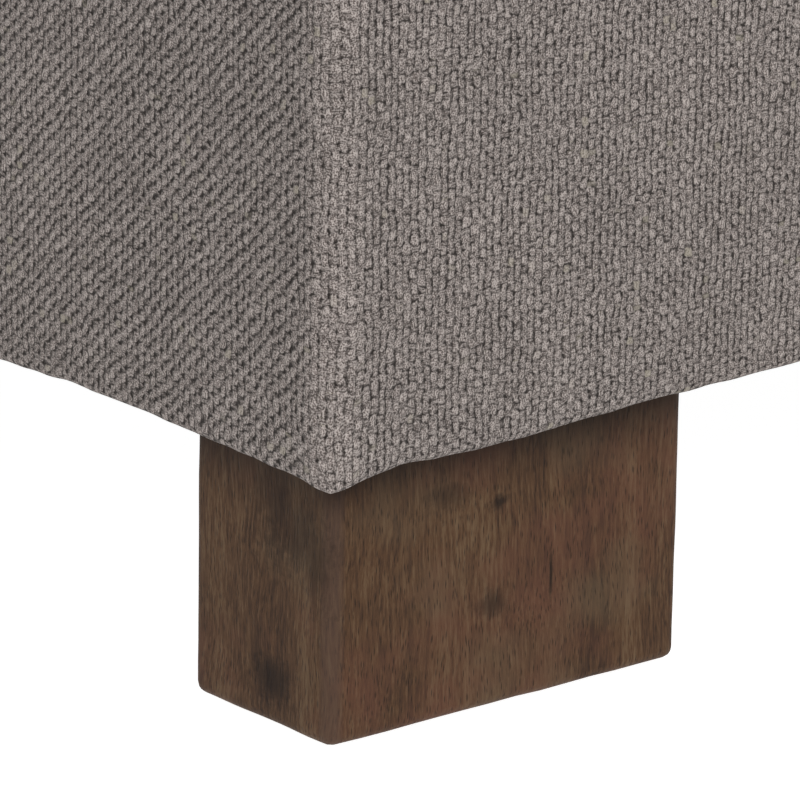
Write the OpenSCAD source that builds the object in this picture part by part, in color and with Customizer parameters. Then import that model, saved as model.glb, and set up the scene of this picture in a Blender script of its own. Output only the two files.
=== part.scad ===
// Storage ottoman: an upholstered box on four block feet, with a padded lid on
// butt hinges and a pair of two-arm lid stays.
// Millimetres. Origin on the floor under the middle of the body, +Z up, front towards -Y.

/* [Body] */
// Width over the upholstery, side to side
body_w = 1066; // [860:1:1290]
// Depth over the upholstery, front to back
body_d = 520; // [430:1:630]
// Height of the frame panels
box_h = 283; // [230:1:340]
// Radius of the upholstered vertical corners
corner_r = 9; // [8:0.5:20]

/* [Feet] */
// Length of a foot along the front
foot_w = 114; // [90:1:140]
// Thickness of a foot, front to back
foot_d = 54; // [45:1:70]
// Height of a foot block
foot_h = 76; // [50:1:120]
// How far the foot's faces lie inside the upholstery's faces
foot_inset = 6.5; // [6:0.1:9]
// Rounding of the foot's upright edges
foot_edge_r = 3; // [2.6:0.1:6]
// Rounding of the foot's lower edges
foot_low_r = 2.5; // [1:0.1:2.5]

/* [Foot fixings] */
// Radius of the nylon glides
glide_r = 9; // [6:0.5:12]
// Height that a glide stands out of the foot
glide_proud = 1.5; // [1:0.1:3]
// Depth of the glide's seat in the foot
glide_seat = 2.5; // [1.5:0.1:4]
// Spacing of the two glides under a foot
glide_pitch = 64; // [40:1:84]
// Radius of the hanger bolts, M8
bolt_r = 4; // [3:0.5:5]
// Depth of a bolt in the foot
bolt_in_foot = 36; // [25:1:44]
// Spacing of the two bolts of a foot
bolt_pitch = 60; // [40:1:64]
// Radius of the T-nut's flange
tnut_flange_r = 10; // [8:0.5:11]
// Thickness of the T-nut's flange
tnut_flange_t = 1.6; // [1:0.1:2.5]
// Wall of the T-nut's barrel
tnut_wall = 1; // [0.8:0.1:2]

/* [Frame] */
// Thickness of the frame panels
panel_t = 15; // [14:0.5:18]
// Thickness of the bottom board
bottom_t = 9; // [6:0.5:15]
// Height of the cleats and corner blocks under the bottom board
cleat_h = 20; // [16:1:30]
// Thickness of the cleats and of the middle rail
cleat_t = 22; // [16:1:30]
// Length of a corner block along the front
block_w = 130; // [120:1:160]
// Length of a corner block along the side
block_d = 74; // [60:1:84]
// Legs of the three-sided glue blocks in the corners
post_leg = 25; // [22:1:32]

/* [Upholstery] */
// Thickness of the foam on the sides of the box
pad_t = 6; // [5:0.5:7]
// Thickness of the woven cover
cover_t = 1.5; // [1:0.1:2]
// Depth of the cover's lower roll below the top of the foot
roll_drop = 6; // [3:0.5:9]
// Thickness of the lower roll
roll_t = 5.5; // [3.5:0.1:5.7]
// Width of the cover turned under the frame
under_return = 34; // [26:1:36]
// Height of the cover turned down inside the box
inner_return = 30; // [20:1:40]
// Distance of the lining's upper edge below the top of the box
lining_drop = 16; // [10:1:20]
// Thickness of the lining with its card
lining_t = 1.5; // [1:0.1:2.5]
// Thickness of the dust cover
dust_t = 0.6; // [0.4:0.1:1]
// Distance of the dust cover's edge from the faces of the body
dust_inset = 20; // [12:1:24]

/* [Lid] */
// Thickness of the lid board
board_t = 15; // [12:0.5:18]
// Thickness of the seat foam
foam_t = 50; // [35:1:70]
// Thickness of the wadding over the foam
wadding_t = 12; // [6:0.5:15]
// Thickness of the wadding down the sides of the lid
lid_side_t = 6; // [5:0.5:7]
// Radius of the lid's upright corners
lid_corner_r = 14; // [14:0.5:20]
// Rounding of the lid's upper edge
lid_top_r = 13; // [10:0.5:13]
// Rounding of the box's upper edge
box_top_r = 6; // [4:0.5:6]
// Width of the cover turned under the lid
lid_return = 45; // [36:1:60]
// Distance of the lid lining's edge from the faces of the lid
lid_lining_inset = 34; // [28:1:40]
// Thickness of the lid lining
lid_lining_t = 0.8; // [0.5:0.1:1.2]
// Radius of the rubber bumpers on the box
bumper_r = 5.5; // [4:0.5:7]
// Gap left between a bumper and the lid
bumper_gap = 0.3; // [0.3:0.1:0.8]

/* [Hinges] */
// Length of a butt hinge
hinge_len = 64; // [50:1:90]
// Width of a leaf, from the pin's axis
leaf_w = 20; // [17:0.5:20]
// Thickness of a leaf
leaf_t = 1.3; // [1:0.1:1.5]
// Outer radius of the knuckles
knuckle_r = 2.4; // [2.2:0.1:3]
// Radius of the hinge pin
pin_r = 1.2; // [0.9:0.1:1.3]
// Distance of the outer hinges' middles from the sides
hinge_side = 150; // [100:1:220]
// Number of knuckles of a hinge
knuckles = 5; // [3:2:7]
// Gap between two knuckles
knuckle_gap = 0.4; // [0.3:0.1:0.8]

/* [Lid stays] */
// Distance of the lid pivot in front of the hinge axis
lid_pivot_y = 90; // [70:1:120]
// Depth of the lid pivot below the hinge axis
lid_pivot_z = 16; // [14:1:24]
// Distance of the box pivot in front of the hinge axis
box_pivot_y = 150; // [130:1:190]
// Depth of the box pivot below the hinge axis
box_pivot_z = 95; // [80:1:120]
// Width of the arms
arm_w = 16; // [14:1:20]
// Thickness of the arms, brackets and plates
arm_t = 2.5; // [2:0.1:3]
// Radius of the damper hub
hub_r = 17; // [14:0.5:22]
// Thickness of the damper hub
hub_t = 9; // [6:0.5:12]
// Radius of the hub's shaft
shaft_r = 4; // [3:0.1:5]
// Radius of the rivets' shanks
rivet_r = 3; // [2.5:0.1:4]

/* [Fits] */
// Gap between two layers that slide past each other
slide_gap = 0.3; // [0.3:0.05:0.5]
// Radial clearance of a pin that turns in a hole
turn_gap = 0.06; // [0.02:0.01:0.1]
// Radial clearance of a screw or bolt in its hole
fixing_gap = 0.05; // [0.02:0.01:0.1]

/* [Hidden] */
$fn = 48;

// Heights, from the floor up
foot_top = glide_proud + foot_h;
frame_low = foot_top + dust_t + cover_t;
bottom_low = frame_low + cleat_h;
floor_low = bottom_low + bottom_t;
frame_top = frame_low + box_h;
box_top = frame_top + cover_t;
lid_gap = 2 * (knuckle_r + slide_gap);
axis_z = box_top + lid_gap / 2;
lid_low = box_top + lid_gap;
board_low = lid_low + cover_t;
foam_low = board_low + board_t;
foam_top = foam_low + foam_t;
wadding_top = foam_top + wadding_t;
lid_top = wadding_top + cover_t;

// Plan sizes
skin_t = cover_t + pad_t;
frame_w = body_w - 2 * skin_t;
frame_d = body_d - 2 * skin_t;
well_w = frame_w - 2 * panel_t;
well_d = frame_d - 2 * panel_t;
lid_core_w = body_w - 2 * (cover_t + lid_side_t);
lid_core_d = body_d - 2 * (cover_t + lid_side_t);
axis_y = body_d / 2 - knuckle_r;
rim_mid = (box_top_r + skin_t + panel_t + cover_t) / 2;
eps = 0.01;

// Feet and their fixings
foot_x = body_w / 2 - foot_inset - foot_w / 2;
foot_y = body_d / 2 - foot_inset - foot_d / 2;
bolt_x = (foot_x - foot_w / 2 + well_w / 2) / 2;
bolt_y = (foot_y - foot_d / 2 + well_d / 2) / 2;
tnut_r = bolt_r + fixing_gap + tnut_wall;
bolt_top = frame_low + cleat_h - tnut_flange_t;

// Hinges
hinge_xs = [-(body_w / 2 - hinge_side), 0, body_w / 2 - hinge_side];
hinge_screw_y = body_d / 2 - skin_t - panel_t / 2;
hinge_screw_xs = [-hinge_len * 0.36, 0, hinge_len * 0.36];
hinge_screw_len = 14;
hinge_screw_r = 1.6;

// Lid stays, on the right-hand side: x runs inwards from the lining
stay_wall_x = well_w / 2 - cover_t - lining_t;
plate_t = 2;
hub_x = stay_wall_x - plate_t;
lower_x = hub_x - hub_t - slide_gap;
upper_x = lower_x - arm_t - slide_gap;
ear_x = upper_x - arm_t - slide_gap;
rivet_head_r = rivet_r + 2.2;
rivet_head_t = 1.6;
box_pivot = [axis_y - box_pivot_y, axis_z - box_pivot_z];
lid_pivot = [axis_y - lid_pivot_y, axis_z - lid_pivot_z];
knee = [box_pivot[0] - lid_pivot_y, box_pivot[1] - lid_pivot_z];
bracket_top = lid_low - lid_lining_t;
bracket_w = 44;
bracket_depth = 28;
plate_half = 26;
stay_screw_r = 1.9;
stay_screw_len = 12;
plate_screws = [[-18, 18], [18, 18], [-18, -18], [18, -18]];
bracket_screws = [[-9, 14], [-9, -14], [-20, 0]];

// Frame screws, through the panels into the glue blocks
frame_screw_r = 1.75;
frame_screw_len = 26;
frame_screw_zs = [floor_low + 25, (floor_low + frame_top - inner_return) / 2, frame_top - inner_return - 25];
post_bite = 9;
lining_cut = post_leg - 2 * cover_t + slide_gap;

// A rectangle standing on y = 0, with its upper corners rounded
module rounded_profile(w, h, r) {
    translate([-w / 2, 0]) square([w, h - r]);
    if (r > 0) {
        translate([-w / 2 + r, h - r - eps]) square([w - 2 * r, r + eps]);
        for (side = [-1, 1]) translate([side * (w / 2 - r), h - r]) circle(r = r);
    }
}

// A block standing on z = 0 with round upright corners and a rounded upper edge
module soft_block(w, d, h, r, r_top = 0) {
    rotate([90, 0, 90]) linear_extrude(w - 2 * r, center = true) rounded_profile(d, h, r_top);
    rotate([90, 0, 0]) linear_extrude(d - 2 * r, center = true) rounded_profile(w, h, r_top);
    for (c = [[1, 1, 0], [-1, 1, 90], [-1, -1, 180], [1, -1, 270]])
        translate([c[0] * (w / 2 - r), c[1] * (d / 2 - r), 0]) rotate([0, 0, c[2]])
            rotate_extrude(angle = 90) intersection() {
                rounded_profile(2 * r, h, r_top);
                square([r, h]);
            }
}

// A plain block centred in plan, from z_low to z_high
module slab(w, d, z_low, z_high) {
    translate([-w / 2, -d / 2, z_low]) cube([w, d, z_high - z_low]);
}

// An upright wall around a rectangle w by d, thick inwards
module wall_ring(w, d, t, z_low, z_high) {
    difference() {
        slab(w, d, z_low, z_high);
        slab(w - 2 * t, d - 2 * t, z_low - 1, z_high + 1);
    }
}

// Places its children at each corner, with x and y running outwards
module at_corners() {
    for (x = [0, 1], y = [0, 1]) mirror([x, 0, 0]) mirror([0, y, 0]) children();
}

// Places its children at the two sides, drawn for the right-hand one
module at_sides() {
    for (x = [0, 1]) mirror([x, 0, 0]) children();
}

// A countersunk wood screw, its head flush with z = 0 and its point down
module wood_screw(r, len, grow = 0) {
    head_r = 2 * r;
    translate([0, 0, -r]) cylinder(h = r, r1 = r + grow, r2 = head_r + grow);
    translate([0, 0, -len - grow]) cylinder(h = len + grow - r + eps, r = r + grow);
}

// A rod along x, from x_low to x_high
module rod_x(r, x_low, x_high) {
    translate([x_low, 0, 0]) rotate([0, 90, 0]) cylinder(h = x_high - x_low, r = r);
}

/* Feet */

module foot_bolt_places() {
    for (dx = [-bolt_pitch / 2, bolt_pitch / 2]) translate([bolt_x + dx, bolt_y, 0]) children();
}

module bolt_hole(z_low, z_high, r = bolt_r + fixing_gap) {
    translate([0, 0, z_low]) cylinder(h = z_high - z_low, r = r);
}

module glide_places() {
    for (dx = [-glide_pitch / 2, glide_pitch / 2]) translate([foot_x + dx, foot_y, 0]) children();
}

// The foot at the right-hand back corner
module foot() {
    color("#58442f") difference() {
        translate([foot_x, foot_y, foot_top]) mirror([0, 0, 1])
            soft_block(foot_w, foot_d, foot_h, foot_edge_r, foot_low_r);
        foot_bolt_places() bolt_hole(foot_top - bolt_in_foot - fixing_gap, foot_top + 1);
        glide_places() bolt_hole(0, glide_proud + glide_seat, glide_r + fixing_gap);
    }
}

module foot_glides() {
    color("#2b2b2b") at_corners() glide_places() cylinder(h = glide_proud + glide_seat, r = glide_r);
}

module foot_bolts() {
    color("silver") at_corners() foot_bolt_places()
        translate([0, 0, foot_top - bolt_in_foot])
            cylinder(h = bolt_top - foot_top + bolt_in_foot, r = bolt_r);
}

module foot_tee_nuts() {
    color("silver") at_corners() foot_bolt_places() difference() {
        union() {
            translate([0, 0, bolt_top]) cylinder(h = tnut_flange_t, r = tnut_flange_r);
            translate([0, 0, frame_low + 4]) cylinder(h = cleat_h - 4 - eps, r = tnut_r);
        }
        bolt_hole(frame_low, bottom_low + 1);
    }
}

/* Frame */

module corner_blocks() {
    color("#c9a877") at_corners() difference() {
        translate([well_w / 2 - block_w, well_d / 2 - block_d, frame_low]) cube([block_w, block_d, cleat_h]);
        foot_bolt_places() {
            bolt_hole(frame_low - 1, bottom_low + 1, tnut_r + fixing_gap);
            bolt_hole(bolt_top, bottom_low + 1, tnut_flange_r + fixing_gap);
        }
    }
}

// The frame screws' places at the right-hand back corner: through the long panel, then the side panel
module long_panel_screws() {
    for (z = frame_screw_zs)
        translate([well_w / 2 - post_bite, frame_d / 2, z]) rotate([-90, 0, 0]) children();
}

module side_panel_screws() {
    for (z = frame_screw_zs)
        translate([frame_w / 2, well_d / 2 - post_bite, z - 10]) rotate([0, 90, 0]) children();
}

module frame_screws() {
    color("silver") at_corners() {
        long_panel_screws() wood_screw(frame_screw_r, frame_screw_len);
        side_panel_screws() wood_screw(frame_screw_r, frame_screw_len);
    }
}

// The back panel: it spans the full width of the frame
module long_panel() {
    difference() {
        translate([-frame_w / 2, well_d / 2, frame_low]) cube([frame_w, panel_t, box_h]);
        at_sides() long_panel_screws() wood_screw(frame_screw_r, frame_screw_len, fixing_gap);
    }
}

// The right panel: it fits between the long panels
module side_panel() {
    difference() {
        translate([well_w / 2, -well_d / 2, frame_low]) cube([panel_t, well_d, box_h]);
        for (y = [0, 1]) mirror([0, y, 0]) side_panel_screws()
            wood_screw(frame_screw_r, frame_screw_len, fixing_gap);
        at_stay() stay_plate_screws() wood_screw(stay_screw_r, stay_screw_len, fixing_gap);
    }
}

module front_panel() {
    color("#d2b48c") mirror([0, 1, 0]) long_panel();
}

module back_panel() {
    color("#d2b48c") difference() {
        long_panel();
        for (x = hinge_xs) translate([x, 0, 0]) hinge_box_screw_places()
            wood_screw(hinge_screw_r, hinge_screw_len, fixing_gap);
    }
}

module left_panel() {
    color("#d2b48c") mirror([1, 0, 0]) side_panel();
}

module right_panel() {
    color("#d2b48c") side_panel();
}

// Three-sided glue blocks, standing on the bottom board in the corners of the box
module corner_posts() {
    color("#c9a877") at_corners() difference() {
        translate([well_w / 2, well_d / 2, floor_low])
            linear_extrude(frame_top - inner_return - 1 - floor_low)
            polygon([[0, 0], [-post_leg, 0], [0, -post_leg]]);
        long_panel_screws() wood_screw(frame_screw_r, frame_screw_len, fixing_gap);
        side_panel_screws() wood_screw(frame_screw_r, frame_screw_len, fixing_gap);
    }
}

module long_cleats() {
    color("#c9a877") for (y = [0, 1]) mirror([0, y, 0])
        translate([-(well_w / 2 - block_w), well_d / 2 - cleat_t, frame_low])
            cube([well_w - 2 * block_w, cleat_t, cleat_h]);
}

module side_cleats() {
    color("#c9a877") at_sides() translate([well_w / 2 - cleat_t, -(well_d / 2 - block_d), frame_low])
        cube([cleat_t, well_d - 2 * block_d, cleat_h]);
}

module middle_rail() {
    color("#c9a877") slab(cleat_t * 2, well_d - 2 * cleat_t, frame_low, bottom_low);
}

module bottom_board() {
    color("#d8c39a") slab(well_w, well_d, bottom_low, floor_low);
}

/* Upholstery of the box */

// The space inside the cover, over the panels and the foam
module padded_box() {
    translate([0, 0, frame_low]) soft_block(body_w - 2 * cover_t, body_d - 2 * cover_t, box_h,
        corner_r - cover_t, box_top_r - cover_t);
}

// The foam on the back; it wraps the upright corners
module long_padding() {
    color("#e8dfb8") intersection() {
        padded_box();
        translate([-body_w / 2, frame_d / 2, frame_low]) cube([body_w, skin_t, box_h]);
    }
}

// The foam on the right-hand side, between the long ones
module side_padding() {
    color("#e8dfb8") intersection() {
        padded_box();
        translate([frame_w / 2, -frame_d / 2, frame_low]) cube([skin_t, frame_d, box_h]);
    }
}

module body_cover() {
    roll_low = foot_top - roll_drop;
    color("#7a736e") {
        difference() {
            translate([0, 0, roll_low]) soft_block(body_w, body_d, box_top - roll_low, corner_r, box_top_r);
            padded_box();
            translate([0, 0, roll_low - 1]) soft_block(body_w - 2 * roll_t, body_d - 2 * roll_t,
                frame_low - cover_t - roll_low + 1, foot_edge_r + foot_inset - roll_t);
            slab(body_w - 2 * under_return, body_d - 2 * under_return, roll_low + 1, frame_low + 1);
            slab(well_w - 2 * cover_t, well_d - 2 * cover_t, frame_top - 1, box_top + 1);
            at_corners() foot_bolt_places() bolt_hole(roll_low + 1, frame_low + 1);
            for (x = hinge_xs) translate([x, 0, 0]) hinge_box_screw_places()
                wood_screw(hinge_screw_r, hinge_screw_len, fixing_gap);
        }
        wall_ring(well_w, well_d, cover_t, frame_top - inner_return, frame_top + eps);
    }
}

// A rectangle with cut corners, centred in plan
module cut_corner_plan(w, d, cut) {
    polygon([
        [w / 2, d / 2 - cut], [w / 2 - cut, d / 2], [-w / 2 + cut, d / 2], [-w / 2, d / 2 - cut],
        [-w / 2, -d / 2 + cut], [-w / 2 + cut, -d / 2], [w / 2 - cut, -d / 2], [w / 2, -d / 2 + cut]
    ]);
}

module well_lining() {
    w = well_w - 2 * cover_t;
    d = well_d - 2 * cover_t;
    color("#3a3836") difference() {
        translate([0, 0, floor_low]) linear_extrude(box_top - lining_drop - floor_low)
            cut_corner_plan(w, d, lining_cut);
        translate([0, 0, floor_low - 1]) linear_extrude(box_top - lining_drop - floor_low + 2)
            cut_corner_plan(w - 2 * lining_t, d - 2 * lining_t, lining_cut - lining_t * (2 - sqrt(2)));
        at_sides() at_stay() stay_plate_screws() wood_screw(stay_screw_r, stay_screw_len, fixing_gap);
    }
}

module well_floor_lining() {
    w = well_w - 2 * (cover_t + lining_t);
    d = well_d - 2 * (cover_t + lining_t);
    color("#3a3836") translate([0, 0, floor_low]) linear_extrude(lining_t)
        cut_corner_plan(w, d, lining_cut);
}

module dust_cover() {
    color("#1d1d1d") difference() {
        slab(body_w - 2 * dust_inset, body_d - 2 * dust_inset, foot_top, foot_top + dust_t);
        at_corners() foot_bolt_places() bolt_hole(foot_top - 1, foot_top + dust_t + 1);
    }
}

module lid_bumpers() {
    color("#222222") at_sides() {
        translate([body_w / 2 - 60, -(body_d / 2 - rim_mid), box_top])
            cylinder(h = lid_gap - bumper_gap, r = bumper_r);
        translate([body_w / 2 - rim_mid, 0, box_top]) cylinder(h = lid_gap - bumper_gap, r = bumper_r);
    }
}

/* Hinges: every piece is drawn about the pin's axis */

knuckle_len = (hinge_len - (knuckles - 1) * knuckle_gap) / knuckles;
tongue = knuckle_r + 1;

module at_hinge(x) {
    translate([x, axis_y, axis_z]) children();
}

// Every other knuckle, starting with the first or the second
module knuckle_row(first) {
    for (k = [first : 2 : knuckles - 1]) {
        start = -hinge_len / 2 + k * (knuckle_len + knuckle_gap);
        rod_x(knuckle_r, start, start + knuckle_len);
        translate([start, -tongue, -lid_gap / 2]) cube([knuckle_len, tongue, leaf_t]);
    }
}

// A leaf below the axis, with its screw holes
module leaf_below(first) {
    difference() {
        union() {
            knuckle_row(first);
            translate([-hinge_len / 2, -leaf_w, -lid_gap / 2]) cube([hinge_len, leaf_w - tongue, leaf_t]);
        }
        rod_x(pin_r + turn_gap, -hinge_len, hinge_len);
        for (x = hinge_screw_xs) translate([x, hinge_screw_y - axis_y, -lid_gap / 2 + leaf_t])
            wood_screw(hinge_screw_r, hinge_screw_len, fixing_gap);
    }
}

module hinge_box_leaf(x) {
    color("#b9b9b4") at_hinge(x) leaf_below(0);
}

module hinge_lid_leaf(x) {
    color("#b9b9b4") at_hinge(x) mirror([0, 0, 1]) leaf_below(1);
}

module hinge_pin(x) {
    head_t = 0.8;
    color("silver") at_hinge(x) {
        rod_x(pin_r, -hinge_len / 2 - 1, hinge_len / 2 + 1);
        rod_x(knuckle_r - 0.3, -hinge_len / 2 - 1 - head_t, -hinge_len / 2 - slide_gap);
        rod_x(knuckle_r - 0.3, hinge_len / 2 + slide_gap, hinge_len / 2 + 1 + head_t);
    }
}

module hinge_box_screw_places() {
    for (x = hinge_screw_xs) translate([x, hinge_screw_y, box_top + leaf_t]) children();
}

module hinge_lid_screw_places() {
    for (x = hinge_screw_xs) translate([x, hinge_screw_y, lid_low - leaf_t]) mirror([0, 0, 1]) children();
}

module hinge_box_screws() {
    color("silver") for (x = hinge_xs) translate([x, 0, 0])
        hinge_box_screw_places() wood_screw(hinge_screw_r, hinge_screw_len);
}

module hinge_lid_screws() {
    color("silver") for (x = hinge_xs) translate([x, 0, 0])
        hinge_lid_screw_places() wood_screw(hinge_screw_r, hinge_screw_len);
}

/* Lid stays: drawn for the right-hand side, with y and z from a pivot */

module at_stay() {
    translate([0, box_pivot[0], box_pivot[1]]) children();
}

module at_pivot(place) {
    translate([0, place[0], place[1]]) children();
}

// A flat arm in the plane of x, from pivot to pivot, with a round end at each
module arm(x_out, from, to, hole_from, hole_to) {
    dy = to[0] - from[0];
    dz = to[1] - from[1];
    translate([x_out - arm_t, from[0], from[1]]) rotate([atan2(dz, dy), 0, 0]) difference() {
        union() {
            translate([0, 0, -arm_w / 2]) cube([arm_t, norm([dy, dz]), arm_w]);
            rod_x(arm_w / 2, 0, arm_t);
            translate([0, norm([dy, dz]), 0]) rod_x(arm_w / 2, 0, arm_t);
        }
        rod_x(hole_from, -1, arm_t + 1);
        translate([0, norm([dy, dz]), 0]) rod_x(hole_to, -1, arm_t + 1);
    }
}

module stay_plate_screws() {
    for (p = plate_screws) translate([stay_wall_x - plate_t, p[0], p[1]]) rotate([0, -90, 0]) children();
}

module stay_plate() {
    color("#8d8d8a") at_stay() difference() {
        translate([stay_wall_x - plate_t, -plate_half, -plate_half])
            cube([plate_t, 2 * plate_half, 2 * plate_half]);
        stay_plate_screws() wood_screw(stay_screw_r, stay_screw_len, fixing_gap);
    }
}

module stay_hub() {
    color("#2f2f31") at_stay() difference() {
        rod_x(hub_r, hub_x - hub_t, hub_x);
        rod_x(shaft_r + turn_gap, hub_x - hub_t - 1, hub_x - 1.5);
    }
}

module stay_lower_arm() {
    color("#a9a9a6") arm(lower_x, box_pivot, knee, shaft_r + fixing_gap, rivet_r + fixing_gap);
}

module stay_upper_arm() {
    color("#a9a9a6") arm(upper_x, knee, lid_pivot, rivet_r + turn_gap, rivet_r + turn_gap);
}

// The hub's shaft with its nut, and the rivet at the knee
module stay_pivots() {
    color("silver") {
        at_stay() {
            rod_x(shaft_r, lower_x - arm_t - eps, hub_x - 1.5 - slide_gap);
            rod_x(shaft_r + 2, lower_x - arm_t - 2.4, lower_x - arm_t);
        }
        at_pivot(knee) {
            rod_x(rivet_r, upper_x - arm_t - slide_gap - eps, lower_x + eps);
            rod_x(rivet_head_r, lower_x, lower_x + rivet_head_t);
            rod_x(rivet_head_r, upper_x - arm_t - slide_gap - rivet_head_t, upper_x - arm_t - slide_gap);
        }
    }
}

module bracket_screw_places() {
    for (p = bracket_screws) translate([ear_x + p[0], lid_pivot[0] + p[1], bracket_top - plate_t])
        mirror([0, 0, 1]) children();
}

// An angle under the lid, with an ear down to the stay's upper pivot
module stay_lid_bracket() {
    ear_w = 20;
    color("#8d8d8a") difference() {
        union() {
            translate([ear_x - bracket_depth, lid_pivot[0] - bracket_w / 2, bracket_top - plate_t])
                cube([bracket_depth, bracket_w, plate_t]);
            translate([ear_x - arm_t, lid_pivot[0] - ear_w / 2, lid_pivot[1]])
                cube([arm_t, ear_w, bracket_top - lid_pivot[1]]);
            at_pivot(lid_pivot) rod_x(ear_w / 2, ear_x - arm_t, ear_x);
        }
        at_pivot(lid_pivot) rod_x(rivet_r + fixing_gap, ear_x - arm_t - 1, ear_x + 1);
        bracket_screw_places() wood_screw(stay_screw_r, stay_screw_len, fixing_gap);
    }
}

module stay_box_screws() {
    color("silver") at_sides() at_stay() stay_plate_screws() wood_screw(stay_screw_r, stay_screw_len);
}

module stay_lid_screws() {
    color("silver") at_sides() bracket_screw_places() wood_screw(stay_screw_r, stay_screw_len);
}

// Rivets fixed in the lid brackets' ears, which the upper arms turn on
module stay_lid_pins() {
    color("silver") at_sides() at_pivot(lid_pivot) {
        rod_x(rivet_r, ear_x - arm_t - eps, upper_x + slide_gap + eps);
        rod_x(rivet_head_r, ear_x - arm_t - rivet_head_t, ear_x - arm_t);
        rod_x(rivet_head_r, upper_x + slide_gap, upper_x + slide_gap + rivet_head_t);
    }
}

/* Lid */

module lid_holes(grow) {
    for (x = hinge_xs) translate([x, 0, 0]) hinge_lid_screw_places()
        wood_screw(hinge_screw_r, hinge_screw_len, grow);
    at_sides() bracket_screw_places() wood_screw(stay_screw_r, stay_screw_len, grow);
}

module lid_board() {
    color("#d2b48c") difference() {
        slab(lid_core_w, lid_core_d, board_low, foam_low);
        lid_holes(fixing_gap);
    }
}

module seat_foam() {
    color("#e8dfb8") slab(lid_core_w, lid_core_d, foam_low, foam_top);
}

// The space inside the lid's cover
module padded_lid() {
    translate([0, 0, board_low]) soft_block(body_w - 2 * cover_t, body_d - 2 * cover_t,
        wadding_top - board_low, lid_corner_r - cover_t, lid_top_r - cover_t);
}

// The wadding lies over the foam and down the sides to the underside of the board
module seat_wadding() {
    color("#f2f2ee") difference() {
        padded_lid();
        slab(lid_core_w, lid_core_d, board_low - 1, foam_top);
    }
}

module lid_cover() {
    color("#7a736e") difference() {
        translate([0, 0, lid_low]) soft_block(body_w, body_d, lid_top - lid_low, lid_corner_r, lid_top_r);
        padded_lid();
        slab(body_w - 2 * lid_return, body_d - 2 * lid_return, lid_low - 1, board_low + 1);
        lid_holes(fixing_gap);
    }
}

module lid_lining() {
    color("#3a3836") difference() {
        slab(body_w - 2 * lid_lining_inset, body_d - 2 * lid_lining_inset, bracket_top, lid_low);
        lid_holes(fixing_gap);
    }
}

foot();  // foot_back_right
mirror([1, 0, 0]) foot();  // foot_back_left
mirror([0, 1, 0]) foot();  // foot_front_right
mirror([1, 0, 0]) mirror([0, 1, 0]) foot();  // foot_front_left
foot_glides();
foot_bolts();
foot_tee_nuts();
corner_blocks();
front_panel();
back_panel();
left_panel();
right_panel();
corner_posts();
long_cleats();
side_cleats();
middle_rail();
bottom_board();
frame_screws();
long_padding();  // back_padding
mirror([0, 1, 0]) long_padding();  // front_padding
side_padding();  // right_padding
mirror([1, 0, 0]) side_padding();  // left_padding
body_cover();
well_lining();
well_floor_lining();
dust_cover();
lid_bumpers();
hinge_box_leaf(hinge_xs[0]);  // hinge_left_box_leaf
hinge_box_leaf(hinge_xs[1]);  // hinge_middle_box_leaf
hinge_box_leaf(hinge_xs[2]);  // hinge_right_box_leaf
hinge_lid_leaf(hinge_xs[0]);  // hinge_left_lid_leaf
hinge_lid_leaf(hinge_xs[1]);  // hinge_middle_lid_leaf
hinge_lid_leaf(hinge_xs[2]);  // hinge_right_lid_leaf
hinge_pin(hinge_xs[0]);  // hinge_left_pin
hinge_pin(hinge_xs[1]);  // hinge_middle_pin
hinge_pin(hinge_xs[2]);  // hinge_right_pin
hinge_box_screws();
hinge_lid_screws();
stay_plate();  // stay_right_plate
mirror([1, 0, 0]) stay_plate();  // stay_left_plate
stay_hub();  // stay_right_hub
mirror([1, 0, 0]) stay_hub();  // stay_left_hub
stay_lower_arm();  // stay_right_lower_arm
mirror([1, 0, 0]) stay_lower_arm();  // stay_left_lower_arm
stay_pivots();  // stay_right_pivots
mirror([1, 0, 0]) stay_pivots();  // stay_left_pivots
stay_upper_arm();  // stay_right_upper_arm
mirror([1, 0, 0]) stay_upper_arm();  // stay_left_upper_arm
stay_lid_bracket();  // stay_right_lid_bracket
mirror([1, 0, 0]) stay_lid_bracket();  // stay_left_lid_bracket
stay_box_screws();
stay_lid_screws();
stay_lid_pins();
lid_board();
seat_foam();
seat_wadding();
lid_cover();
lid_lining();
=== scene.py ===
"""The looks of a storage ottoman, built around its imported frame.

An upholstered box on four block feet, with a padded lid. Every length is in metres, in the frame's own axes:
+Z up, -Y towards the front, and the floor at z = 0. Sizes come from the frame and from the dataclass fields.
"""

import logging
import math
from dataclasses import dataclass, field
from enum import Enum
from typing import Callable, Mapping, Sequence

import bmesh
import bpy
import numpy as np
from mathutils import Matrix, Vector, noise


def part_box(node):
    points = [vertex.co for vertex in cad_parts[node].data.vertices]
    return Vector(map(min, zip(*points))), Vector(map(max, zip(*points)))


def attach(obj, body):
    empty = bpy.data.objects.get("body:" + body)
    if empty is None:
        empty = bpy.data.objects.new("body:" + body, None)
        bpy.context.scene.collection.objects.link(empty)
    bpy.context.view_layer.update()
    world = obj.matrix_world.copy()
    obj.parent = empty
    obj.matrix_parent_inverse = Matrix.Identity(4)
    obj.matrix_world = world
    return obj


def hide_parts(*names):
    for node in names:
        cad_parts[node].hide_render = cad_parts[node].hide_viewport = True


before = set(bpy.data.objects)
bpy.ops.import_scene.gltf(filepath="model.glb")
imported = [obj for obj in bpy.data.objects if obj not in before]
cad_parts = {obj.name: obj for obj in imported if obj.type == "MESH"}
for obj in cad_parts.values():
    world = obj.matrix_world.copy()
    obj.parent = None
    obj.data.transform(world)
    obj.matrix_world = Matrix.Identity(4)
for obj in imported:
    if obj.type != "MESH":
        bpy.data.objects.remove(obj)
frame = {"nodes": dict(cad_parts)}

LOG = logging.getLogger("ottoman")
MM = 0.001
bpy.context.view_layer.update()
CLOTH_UV = "cloth"

Link = object


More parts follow.
